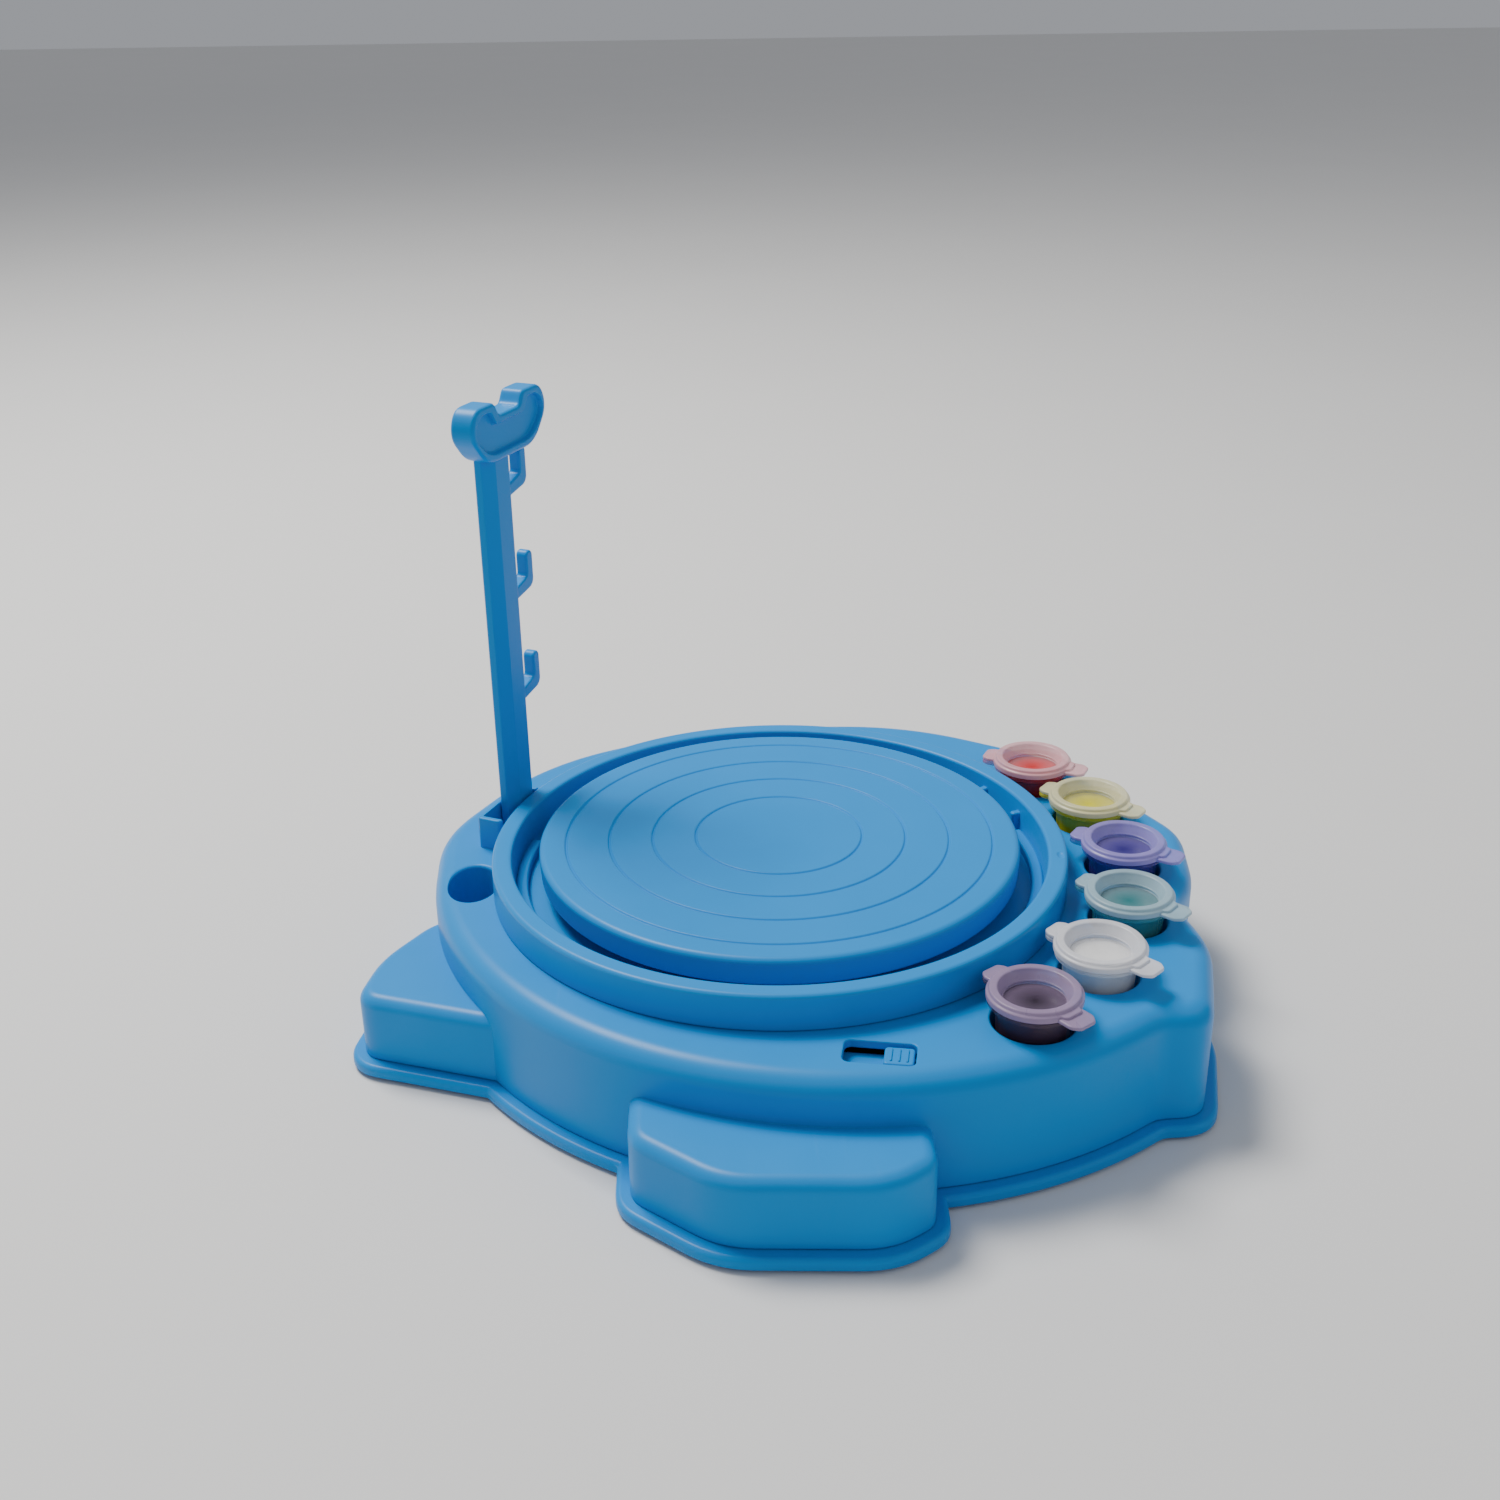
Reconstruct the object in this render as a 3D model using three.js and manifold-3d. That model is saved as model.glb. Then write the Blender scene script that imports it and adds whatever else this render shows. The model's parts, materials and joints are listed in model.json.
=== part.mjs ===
// A child's battery-powered pottery wheel: a moulded base with a splash basin, a driven turntable,
// a side wing of paint pots and a lift-out tool mast.
// Millimetres, +Z up. The origin is where the spin axis meets the table that the wheel stands on.
import * as THREE from "three";
import { mergeVertices } from "three/addons/utils/BufferGeometryUtils.js";
import Module from "manifold-3d";

const wasm = await Module();
wasm.setup();

// ---- Driving dimensions ----
const GAP = 0.3; // between pieces that touch
const RUNNING = 0.5; // between pieces that slide or turn in one another

const BASE = {
  trayBottom: 1.0, // the feet lift the tray this far
  trayFloor: 2.4,
  flangeTop: 4.6,
  flangeReach: 4.0, // the tray's flange beyond the housing's wall
  deckTop: 40.4,
  wall: 2.4,
  deckFillet: 6.5,
  lobeTop: 26.0,
  lobeFillet: 4.0,
  lipWall: 1.5,
  lipTop: 8.5,
};
const FRONT_ARC = { x: 21, y: 18, r: 131.5, from: 186, to: 308.7 };
const FOOT = { r: 7.0, pocket: 1.3, thick: 2.0 };
const FEET = [[0, 0], [-96, -34], [-2, -116], [108, -44], [84, 74], [-74, 70]];
const COVER_SCREW = { head: 2.9, shank: 0.95, pilot: 1.25, boss: 3.8, standoff: 5, length: 17, sink: 3.2 };
const COVER_SCREWS = [[66, -66], [64, 66], [-66, 66], [-56, -72]];

const BASIN = {
  outer: 89.5,
  rim: 6.1, // the width of its rim
  skin: 2.0,
  top: 51.8,
  floorTop: 40.0,
  lip: 1.2,
  collar: 10.0,
  collarTop: 46.5,
  ledgeWide: 3.6,
  ledgeHigh: 3.0,
  ledgeFrom: 165,
  ledgeTo: 375,
};
const basinInner = BASIN.outer - BASIN.rim;
const TURNTABLE = {
  r: basinInner - 8.4,
  top: 54,
  disc: 3,
  skirt: 2.2,
  skirtDrop: 8.5,
  rim: 1.6,
  hub: 7.5,
  hubDrop: 12,
  shroud: 13.5,
  grooveDeep: 0.6,
  grooveWide: 1.4,
  ribs: 8,
};
const GROOVES = [8.6, 22, 35.5, 49]; // in from its edge

const SPINDLE = { r: 4, flat: 3.1, flatLong: 8, bottom: 5.0, top: 50.5 };
const BUSH = { r: 6.5, flange: 8.5, flangeHigh: 1.4, high: 5, cupWall: 3 };
const PLATE = { bottom: 23, thick: 2.4, post: 3.2 };
const PLATE_POSTS = [[-38, -8], [36, 14], [-38, 52], [26, 52]];
const GEAR = { bottom: 13, thick: 5, firstModule: 1.2, lastModule: 1.5, hubWall: 3, hubUp: 1.5 };
const GEAR_HOLES = { count: 6, circle: 16, r: 4.5 };
const TEETH = { pinion: 8, idlerWheel: 30, idlerPinion: 8, spindle: 40 };
const IDLER = { angle: 112, pin: 1.5, post: 3.6, postTop: 7.7, wheelThick: 3, wheelDrop: 1.2 };
const MOTOR = { angle: 62, r: 10, flat: 7.7, bottom: 12.4, can: 20, cap: 3, shaft: 1.0, seat: 4, cradle: 5 };

const CELL = { r: 7.1, long: 50.5, count: 4, nub: 2.7, nubHigh: 1.2, pitch: 15.2, y: -66, bottom: 3.8 };
const BAY = { wall: 1.5, roof: 1.5, contactRoom: 2.6, door: 1.8, ledge: 2 };
const CONTACT = { thick: 0.5, high: 10, wide: 9, spring: 3.4 };
const DOOR_TONGUE = { wide: 9, long: 10, thick: 3, head: 2.6, shank: 0.95, screw: 10, bossOver: 4 };

const SLOT = { x: 23, y: -99.9, turn: -9.8, long: 19.5, wide: 10, corner: 2 };
const SLIDER = {
  long: 8.2,
  wide: 8,
  rest: 5.2,
  travel: 8.5,
  drop: 0.25, // the knob's top below the deck
  plate: 1.5,
  plateTop: 36,
  plateWide: 10.6,
  plateOver: 1,
};
const SWITCH = { long: 24, wide: 8, bottom: 26, top: 33, peg: 2.6, pegBottom: 30, postLong: 12, postWide: 6 };
const WIRE = 0.8;

const WELL = { circle: 108.5, first: -52.5, step: 17.3, r: 11.7, wall: 1.4, depth: 16.5 };
const POT = { foot: 9.4, mouth: 10.7, high: 23, wall: 1.0, flange: 12.9, flangeThick: 1.2, fill: 0.86 };
const LID = { r: 13.4, well: 9.6, plug: 9.0, plugDeep: 1.2, high: 3.0, skin: 1.1, hinge: 17.2, thumb: 19.3 };
const TAB = { hingeWide: 8.5, thumbWide: 9 };
const POTS = [
  { name: "black", yaw: -53, colour: 0x1d1620 },
  { name: "white", yaw: -46, colour: 0xf4f3ee },
  { name: "teal", yaw: -42, colour: 0x1f8f8c },
  { name: "indigo", yaw: -34, colour: 0x241a86 },
  { name: "yellow", yaw: -38, colour: 0xe9dd12 },
  { name: "red", yaw: -27, colour: 0xe3241c },
];

const TOOL_HOLE = { x: -96.2, y: -3, radial: 7.8, tangential: 11.5, floor: 14, wall: 1.5 };
const MAST = {
  turn: 66, // the bar's broad side, from +X
  distance: 93.0, // the bar's middle plane from the spin axis
  along: -1.85,
  wide: 13,
  thick: 5,
  bevelWide: 4.7,
  bevelDeep: 2.3,
  bottom: 15,
  headBottom: 166,
  hooks: [83.5, 118, 152],
  hookReach: 11,
  hookRise: 2,
  hookTip: 8,
  hookThick: 4,
};
const HEAD = {
  wide: 46,
  high: 18,
  offset: 5.7, // its middle from the bar's
  thick: 8,
  rim: 2.6,
  recess: 1.6,
  notch: 14,
  notchDeep: 4.2,
};
const SOCKET = { wall: 1.6, front: 10.4, back: 0.3, top: 51.3, floor: 13 };

const BLUE = 0x4aa8dc;
const finish = (color, roughness, metalness = 0) =>
  new THREE.MeshStandardMaterial({ color, roughness, metalness });
const housingPlastic = finish(BLUE, 0.38);
const whitePlastic = finish(0xe8e6de, 0.5);
const clearPlastic = finish(0xdfe2ec, 0.25);
const blackPlastic = finish(0x1c1c1e, 0.5);
const steel = finish(0xb9bcc0, 0.3, 1);
const brass = finish(0xc7a24a, 0.3, 1);
const rubber = finish(0x2b2b2d, 0.8);

// ---- Solids ----
const radians = THREE.MathUtils.degToRad;

function solidOf(geometry) {
  const bare = geometry.clone();
  bare.deleteAttribute("normal");
  bare.deleteAttribute("uv");
  const merged = mergeVertices(bare, 1e-4);
  return new wasm.Manifold(
    new wasm.Mesh({
      numProp: 3,
      vertProperties: merged.attributes.position.array,
      triVerts: new Uint32Array(merged.index.array),
    }),
  );
}

const union = (solids) => solids.reduce((whole, piece) => whole.add(piece));
const cut = (solid, tools) => tools.reduce((left, tool) => left.subtract(tool), solid);

function geometryOf(solid) {
  const mesh = solid.getMesh();
  return new THREE.BufferGeometry()
    .setAttribute("position", new THREE.BufferAttribute(Float32Array.from(mesh.vertProperties), 3))
    .setIndex(new THREE.BufferAttribute(mesh.triVerts, 1));
}

// An upright cylinder or cone between two heights.
function post(r, z0, z1, { x = 0, y = 0, top = r, sides = 20 } = {}) {
  return solidOf(
    new THREE.CylinderGeometry(top, r, z1 - z0, sides)
      .rotateX(Math.PI / 2)
      .translate(x, y, (z0 + z1) / 2),
  );
}

// A box between two heights, turned about its own upright axis.
function block(long, wide, z0, z1, { x = 0, y = 0, turn = 0 } = {}) {
  return solidOf(
    new THREE.BoxGeometry(long, wide, z1 - z0)
      .rotateZ(radians(turn))
      .translate(x, y, (z0 + z1) / 2),
  );
}

// A surface of revolution about Z from [radius, height] points that run anticlockwise.
function turnedGeometry(profile, sides) {
  const points = profile.map(([r, z]) => new THREE.Vector2(r, z));
  const ends = points[0].x > 0 ? [points[0].clone()] : [];
  return new THREE.LatheGeometry([...points, ...ends], sides).rotateX(Math.PI / 2);
}

const turned = (profile, sides = 48) => solidOf(turnedGeometry(profile, sides));

// A flat outline of [x, y] points raised between two heights.
function raised(outline, z0, z1) {
  const shape = new THREE.Shape(outline.map(([x, y]) => new THREE.Vector2(x, y)));
  return solidOf(
    new THREE.ExtrudeGeometry(shape, { depth: z1 - z0, bevelEnabled: false }).translate(0, 0, z0),
  );
}

function arc(x, y, r, from, to, steps) {
  return Array.from({ length: steps + 1 }, (_, i) => {
    const a = radians(from + ((to - from) * i) / steps);
    return [x + r * Math.cos(a), y + r * Math.sin(a)];
  });
}

// An outline through [x, y, radius] corners, each rounded by an arc that its two sides touch.
function rounded(corners, closed = true, degreesPerStep = 22) {
  return corners.flatMap(([x, y, r = 0], i) => {
    if (!r || (!closed && (i === 0 || i === corners.length - 1))) return [[x, y]];
    const at = new THREE.Vector2(x, y);
    const before = new THREE.Vector2(...corners.at(i - 1).slice(0, 2)).sub(at);
    const after = new THREE.Vector2(...corners[(i + 1) % corners.length].slice(0, 2)).sub(at);
    const half = Math.acos(before.dot(after) / (before.length() * after.length())) / 2;
    const room = 0.48 * Math.min(before.length(), after.length());
    const reach = Math.min(r / Math.tan(half), room);
    const radius = reach * Math.tan(half);
    const start = before.normalize();
    const end = after.normalize();
    const middle = start.clone().add(end).normalize().multiplyScalar(radius / Math.sin(half)).add(at);
    const first = start.multiplyScalar(reach).add(at).sub(middle);
    const last = end.multiplyScalar(reach).add(at).sub(middle);
    const sweep = Math.atan2(first.cross(last), first.dot(last));
    const steps = Math.max(2, Math.ceil(Math.abs(THREE.MathUtils.radToDeg(sweep)) / degreesPerStep));
    return Array.from({ length: steps + 1 }, (_, k) => {
      const p = first.clone().rotateAround(new THREE.Vector2(), (sweep * k) / steps).add(middle);
      return [p.x, p.y];
    });
  });
}

// The outline moved inward by a distance, each corner along its own bisector.
function inset(outline, distance) {
  return outline.map(([x, y], i) => {
    const [px, py] = outline.at(i - 1);
    const [nx, ny] = outline[(i + 1) % outline.length];
    const a = new THREE.Vector2(py - y, x - px).normalize();
    const b = new THREE.Vector2(y - ny, nx - x).normalize();
    const scale = distance / Math.max(1 + a.dot(b), 0.3);
    return [x + (a.x + b.x) * scale, y + (a.y + b.y) * scale];
  });
}

// A plate whose outline shrinks from level to level: [height, inset] pairs from the bottom up.
function stacked(outline, levels) {
  const rings = levels.map(([z, d]) => inset(outline, d).map(([x, y]) => [x, y, z]));
  const n = outline.length;
  const faces = [];
  for (let k = 0; k + 1 < rings.length; k++) {
    for (let i = 0; i < n; i++) {
      const j = (i + 1) % n;
      faces.push(k * n + i, k * n + j, (k + 1) * n + j, k * n + i, (k + 1) * n + j, (k + 1) * n + i);
    }
  }
  const capOf = (ring) => {
    const flat = ring.map(([x, y]) => new THREE.Vector2(x, y));
    return THREE.ShapeUtils.triangulateShape(flat, []);
  };
  const top = (rings.length - 1) * n;
  for (const [a, b, c] of capOf(rings[0])) faces.push(c, b, a);
  for (const [a, b, c] of capOf(rings.at(-1))) faces.push(a + top, b + top, c + top);
  return solidOf(
    new THREE.BufferGeometry()
      .setAttribute("position", new THREE.Float32BufferAttribute(rings.flat(2), 3))
      .setIndex(faces),
  );
}

// Levels of a plate with upright walls and a rounded top edge.
function filletLevels(z0, z1, radius, start = 0, steps = 2) {
  const curve = Array.from({ length: steps + 1 }, (_, i) => {
    const a = (Math.PI / 2) * (i / steps);
    return [z1 - radius + radius * Math.sin(a), start + radius * (1 - Math.cos(a))];
  });
  return [[z0, start], ...curve];
}

const group = new THREE.Group();

function add(name, solid, material, parent = group) {
  const mesh = new THREE.Mesh(geometryOf(solid), material);
  mesh.name = name;
  parent.add(mesh);
  return mesh;
}

// ---- Plan of the base ----
const frontArc = arc(FRONT_ARC.x, FRONT_ARC.y, FRONT_ARC.r, FRONT_ARC.from, FRONT_ARC.to, 15);
const wingAndBack = rounded(
  [
    frontArc.at(-1),
    [117, -84.5, 9],
    [126.5, -46, 40],
    [122, -22.5, 12],
    [131, -6, 40],
    [134.5, 24, 22],
    [125, 43, 30],
    [99, 86, 40],
    [52, 116, 90],
    [-20, 118, 110],
    [-84, 88, 90],
    [-112, 34, 90],
    frontArc[0],
  ],
  false,
  14,
);
const bodyPlan = [...frontArc, ...wingAndBack.slice(1, -1)];
const leftLobePlan = rounded([
  [-80, 12],
  [-111, 0, 20],
  [-124.5, -22, 40],
  [-128.5, -44.5, 8],
  [-78, -61.5],
]);
const frontLobePlan = rounded([
  [-44.5, -80],
  [-44.5, -114, 9],
  [-20, -134, 26],
  [24, -136, 26],
  [36.5, -127, 5],
  [36.5, -90],
]);

function bodySolid(z0, shrink, drop) {
  const deck = filletLevels(z0, BASE.deckTop - drop, BASE.deckFillet - shrink, shrink);
  const lobe = filletLevels(z0, BASE.lobeTop - drop, BASE.lobeFillet - shrink * 0.8, shrink);
  return union([stacked(bodyPlan, deck), stacked(leftLobePlan, lobe), stacked(frontLobePlan, lobe)]);
}

// ---- Places shared by several pieces ----
const mastNormal = [-Math.sin(radians(MAST.turn)), Math.cos(radians(MAST.turn))];
const mastAlong = [Math.cos(radians(MAST.turn)), Math.sin(radians(MAST.turn))];
const mastPoint = (t, d) => [mastAlong[0] * t + mastNormal[0] * d, mastAlong[1] * t + mastNormal[1] * d];

// An upright box in the mast's own directions: t along the bar's broad side, d out from the axis.
function mastBlock(t0, t1, d0, d1, z0, z1) {
  const [x, y] = mastPoint((t0 + t1) / 2, (d0 + d1) / 2);
  return block(t1 - t0, d1 - d0, z0, z1, { x, y, turn: MAST.turn });
}

const socket = {
  t0: MAST.along - MAST.wide / 2 - SOCKET.front - SOCKET.wall,
  t1: MAST.along + MAST.wide / 2 + SOCKET.back + SOCKET.wall,
  d0: MAST.distance - MAST.thick / 2 - GAP - SOCKET.wall,
  d1: MAST.distance + MAST.thick / 2 + GAP + SOCKET.wall,
};
const deckUnder = BASE.deckTop - BASE.wall;
const housingBottom = BASE.flangeTop + GAP;
const deckOpening = BASIN.outer - BASIN.skin - 0.6;
const wells = POTS.map((pot, i) => {
  const a = radians(WELL.first + i * WELL.step);
  return { ...pot, x: WELL.circle * Math.cos(a), y: WELL.circle * Math.sin(a) };
});
const wellFloor = BASE.deckTop - WELL.depth;
const slotPlace = { x: SLOT.x, y: SLOT.y, turn: SLOT.turn };

function toolHole(grow, z0, z1) {
  const oval = new THREE.CylinderGeometry(1, 1, z1 - z0, 20).rotateX(Math.PI / 2);
  oval.scale(TOOL_HOLE.radial + grow, TOOL_HOLE.tangential + grow, 1);
  return solidOf(oval.translate(TOOL_HOLE.x, TOOL_HOLE.y, (z0 + z1) / 2));
}

// ---- Base housing ----
function baseHousing() {
  const shell = bodySolid(housingBottom, 0, 0).subtract(bodySolid(housingBottom - 1, BASE.wall, BASE.wall));
  const bosses = COVER_SCREWS.map(([x, y]) =>
    post(COVER_SCREW.boss, BASE.lipTop, deckUnder + 1, { x, y, sides: 16 }),
  );
  const tubes = wells.map(({ x, y }) =>
    post(WELL.r + WELL.wall, wellFloor - WELL.wall, deckUnder + 1, { x, y, sides: 20 }),
  );
  const { t0, t1, d0, d1 } = socket;
  const socketBox = mastBlock(t0, t1, d0, d1, SOCKET.floor - SOCKET.wall, SOCKET.top);
  const toolTube = toolHole(TOOL_HOLE.wall, TOOL_HOLE.floor - TOOL_HOLE.wall, deckUnder + 1);
  const whole = union([shell, ...bosses, ...tubes, socketBox, toolTube]);

  const bar = [MAST.along - MAST.wide / 2 - GAP, MAST.along + MAST.wide / 2 + SOCKET.back];
  const face = [MAST.distance - MAST.thick / 2 - GAP, MAST.distance + MAST.thick / 2 + GAP];
  const high = SOCKET.top + 1;
  return cut(whole, [
    post(deckOpening, deckUnder - 1, BASE.deckTop + 1, { sides: 48 }),
    post(BASIN.outer + GAP, BASE.deckTop, high, { sides: 48 }),
    ...wells.map(({ x, y }) => post(WELL.r, wellFloor, BASE.deckTop + 1, { x, y, sides: 20 })),
    ...COVER_SCREWS.map(([x, y]) =>
      post(COVER_SCREW.pilot, BASE.lipTop - 1, BASE.lipTop + 15, { x, y, sides: 10 }),
    ),
    toolHole(0, TOOL_HOLE.floor, BASE.deckTop + 1),
    mastBlock(bar[0], bar[1], face[0], face[1], SOCKET.floor, high),
    mastBlock(t0 + SOCKET.wall, bar[1], basinInner, face[1], BASE.deckTop, high),
    raised(
      rounded([[-1, -1], [1, -1], [1, 1], [-1, 1]].map(([i, j]) => {
        const p = new THREE.Vector2((i * SLOT.long) / 2, (j * SLOT.wide) / 2);
        p.rotateAround(new THREE.Vector2(), radians(SLOT.turn));
        return [p.x + SLOT.x, p.y + SLOT.y, SLOT.corner];
      })),
      deckUnder - 1,
      BASE.deckTop + 1,
    ),
  ]);
}

// ---- Tray under the base, with the battery bay ----
const bay = {
  wide: CELL.pitch * (CELL.count - 1) + 2 * CELL.r + 2 * GAP,
  long: CELL.long + 2 * BAY.contactRoom,
  top: CELL.bottom + 2 * CELL.r + GAP,
};
const doorWide = bay.wide + 2 * BAY.ledge;
const doorLong = bay.long + 2 * BAY.ledge;
const tongueAt = { y: CELL.y - (doorLong + DOOR_TONGUE.long) / 2 + 1 };
const doorScrewAt = { y: tongueAt.y - 0.8 };

function baseTray() {
  const plans = [bodyPlan, leftLobePlan, frontLobePlan];
  const onPlans = (levels) => union(plans.map((plan) => stacked(plan, levels)));
  const insideOf = (z0, z1, d) => onPlans([[z0, d], [z1, d]]);
  const plateWithFlange = onPlans(filletLevels(BASE.trayBottom, BASE.flangeTop, 1.6, -BASE.flangeReach, 1));
  const lip = insideOf(BASE.trayBottom + 1, BASE.lipTop, BASE.wall + GAP);
  const well = insideOf(BASE.trayBottom + BASE.trayFloor, BASE.lipTop + 1, BASE.wall + GAP + BASE.lipWall);
  const standoffTop = BASE.lipTop - GAP;
  const doorBoss = DOOR_TONGUE.wide + DOOR_TONGUE.bossOver;
  const bayWide = bay.wide + 2 * BAY.wall;
  const bayLong = bay.long + 2 * BAY.wall;
  const bayBox = block(bayWide, bayLong, BASE.trayBottom, bay.top + BAY.roof, { y: CELL.y });
  const [ix, iy] = idlerPlace;
  const [mx, my] = motorPlace;
  const floor = BASE.trayBottom + BASE.trayFloor;
  const cradleWide = 2 * MOTOR.r + MOTOR.cradle;
  const cradleTop = MOTOR.bottom + MOTOR.seat;
  const gearRoom = (teeth) => (teeth / 2 + 2) * GEAR.firstModule;
  const cradle = cut(
    block(cradleWide, cradleWide, BASE.trayBottom, cradleTop, { x: mx, y: my, turn: MOTOR.angle }),
    [
      post(MOTOR.r + GAP, MOTOR.bottom - GAP, cradleTop + 1, { x: mx, y: my }),
      post(gearRoom(TEETH.pinion), floor, MOTOR.bottom, { x: mx, y: my, sides: 16 }),
      post(gearRoom(TEETH.idlerWheel), floor, MOTOR.bottom, { x: ix, y: iy, sides: 32 }),
    ],
  );
  const whole = union([
    plateWithFlange.add(lip).subtract(well),
    cradle,
    ...COVER_SCREWS.map(([x, y]) =>
      post(COVER_SCREW.standoff, BASE.trayBottom, standoffTop, { x, y, sides: 16 }),
    ),
    post(BUSH.r + BUSH.cupWall, BASE.trayBottom, SPINDLE.bottom + BUSH.high - 1, { sides: 24 }),
    post(IDLER.post, BASE.trayBottom, IDLER.postTop, { x: ix, y: iy, sides: 16 }),
    ...PLATE_POSTS.map(([x, y]) =>
      post(PLATE.post, BASE.trayBottom, PLATE.bottom - GAP, { x, y, sides: 12 }),
    ),
    block(SWITCH.postLong, SWITCH.postWide, BASE.trayBottom, SWITCH.bottom - GAP, slotPlace),
    block(doorBoss, doorBoss, BASE.trayBottom, DOOR_TONGUE.screw + DOOR_TONGUE.bossOver, doorScrewAt),
    bayBox,
  ]);
  const doorRoom = block(doorWide, doorLong, 0, BASE.trayBottom + BAY.door + GAP, { y: CELL.y });
  const tongueRoom = [DOOR_TONGUE.wide + 2 * GAP, DOOR_TONGUE.long + 2 * GAP];
  return cut(whole, [
    block(bay.wide, bay.long, BASE.trayBottom - 1, bay.top, { y: CELL.y }),
    doorRoom,
    ...FEET.map(([x, y]) => post(FOOT.r + GAP, 0, BASE.trayBottom + FOOT.pocket, { x, y })),
    ...COVER_SCREWS.map(([x, y]) =>
      post(COVER_SCREW.head + GAP, 0, BASE.trayBottom + COVER_SCREW.sink, { x, y, sides: 16 }),
    ),
    ...COVER_SCREWS.map(([x, y]) =>
      post(COVER_SCREW.pilot, BASE.trayBottom + 2, standoffTop + 1, { x, y, sides: 10 }),
    ),
    post(BUSH.r + GAP, SPINDLE.bottom - GAP, SPINDLE.bottom + BUSH.high),
    post(IDLER.pin + GAP, floor, IDLER.postTop + 1, { x: ix, y: iy, sides: 16 }),
    block(...tongueRoom, 0, BASE.trayBottom + DOOR_TONGUE.thick + GAP, tongueAt),
    post(COVER_SCREW.pilot, 2, DOOR_TONGUE.screw + 3, { ...doorScrewAt, sides: 10 }),
  ]);
}

// ---- Drive train ----
const firstCentres = ((TEETH.pinion + TEETH.idlerWheel) * GEAR.firstModule) / 2;
const lastCentres = ((TEETH.idlerPinion + TEETH.spindle) * GEAR.lastModule) / 2;
const polar = (r, degrees) => [r * Math.cos(radians(degrees)), r * Math.sin(radians(degrees))];
const idlerPlace = polar(lastCentres, IDLER.angle);
const motorPlace = polar(firstCentres, MOTOR.angle).map((v, i) => v + idlerPlace[i]);

// A spur gear's outline: straight-flanked teeth, the first centred on the phase angle.
function gearOutline(teeth, module, phase) {
  const pitch = (teeth * module) / 2;
  const tip = pitch + 0.85 * module;
  const root = pitch - 1.15 * module;
  const share = 360 / teeth;
  return Array.from({ length: teeth }, (_, i) => phase + i * share).flatMap((a) => [
    polar(root, a - 0.31 * share),
    polar(tip, a - 0.12 * share),
    polar(tip, a + 0.12 * share),
    polar(root, a + 0.31 * share),
  ]);
}

function gear(teeth, module, phase, z0, z1) {
  return raised(gearOutline(teeth, module, phase), z0, z1);
}

function spindleGear() {
  const z1 = GEAR.bottom + GEAR.thick;
  const facing = IDLER.angle;
  const hub = post(SPINDLE.r + GEAR.hubWall, GEAR.bottom, z1 + GEAR.hubUp);
  const holes = Array.from({ length: GEAR_HOLES.count }, (_, i) => {
    const [x, y] = polar(GEAR_HOLES.circle, (360 / GEAR_HOLES.count) * i);
    return post(GEAR_HOLES.r, 0, z1 + 1, { x, y, sides: 10 });
  });
  return cut(gear(TEETH.spindle, GEAR.lastModule, facing, GEAR.bottom, z1).add(hub), [
    post(SPINDLE.r + GAP, 0, z1 + GEAR.hubUp + 1),
    ...holes,
  ]);
}

function idlerGear() {
  const facingSpindle = IDLER.angle + 180 + 180 / TEETH.idlerPinion;
  const wheelTop = GEAR.bottom - IDLER.wheelDrop;
  const wheelBottom = wheelTop - IDLER.wheelThick;
  const smallTop = GEAR.bottom + GEAR.thick + 0.5;
  const small = gear(TEETH.idlerPinion, GEAR.lastModule, facingSpindle, wheelTop - 0.5, smallTop);
  const large = gear(TEETH.idlerWheel, GEAR.firstModule, MOTOR.angle, wheelBottom, wheelTop);
  return small.add(large).subtract(post(IDLER.pin + GAP, 0, 40, { sides: 16 }));
}

function motorPinion() {
  const facing = MOTOR.angle + 180 + 180 / TEETH.pinion;
  return gear(TEETH.pinion, GEAR.firstModule, facing, GEAR.bottom - 4.6, GEAR.bottom - 0.9).subtract(
    post(MOTOR.shaft + GAP, 0, 40, { sides: 12 }),
  );
}

function gearPlate() {
  const outline = rounded([
    [-45, -15, 6],
    [10, -15, 10],
    [43, 7, 6],
    [43, 20, 8],
    [34, 67, 8],
    [-44, 67, 8],
  ]);
  const z1 = PLATE.bottom + PLATE.thick;
  const [ix, iy] = idlerPlace;
  const [mx, my] = motorPlace;
  return cut(raised(outline, PLATE.bottom, z1), [
    post(BUSH.r + GAP, 0, 40),
    post(IDLER.pin + GAP, 0, 40, { x: ix, y: iy, sides: 16 }),
    post(MOTOR.r + GAP, 0, 40, { x: mx, y: my }),
  ]);
}

function bush(z0, flangeUp) {
  const sleeve = post(BUSH.r, z0, z0 + BUSH.high);
  const flange = post(BUSH.flange, z0 + BUSH.high - BUSH.flangeHigh, z0 + BUSH.high);
  return (flangeUp ? sleeve.add(flange) : sleeve).subtract(post(SPINDLE.r + GAP, 0, SPINDLE.top));
}

function motorCan(z0, z1) {
  const [x, y] = motorPlace;
  const round = post(MOTOR.r, z0, z1, { x, y });
  return round.intersect(block(4 * MOTOR.r, 2 * MOTOR.flat, z0 - 1, z1 + 1, { x, y, turn: MOTOR.angle }));
}

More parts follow.
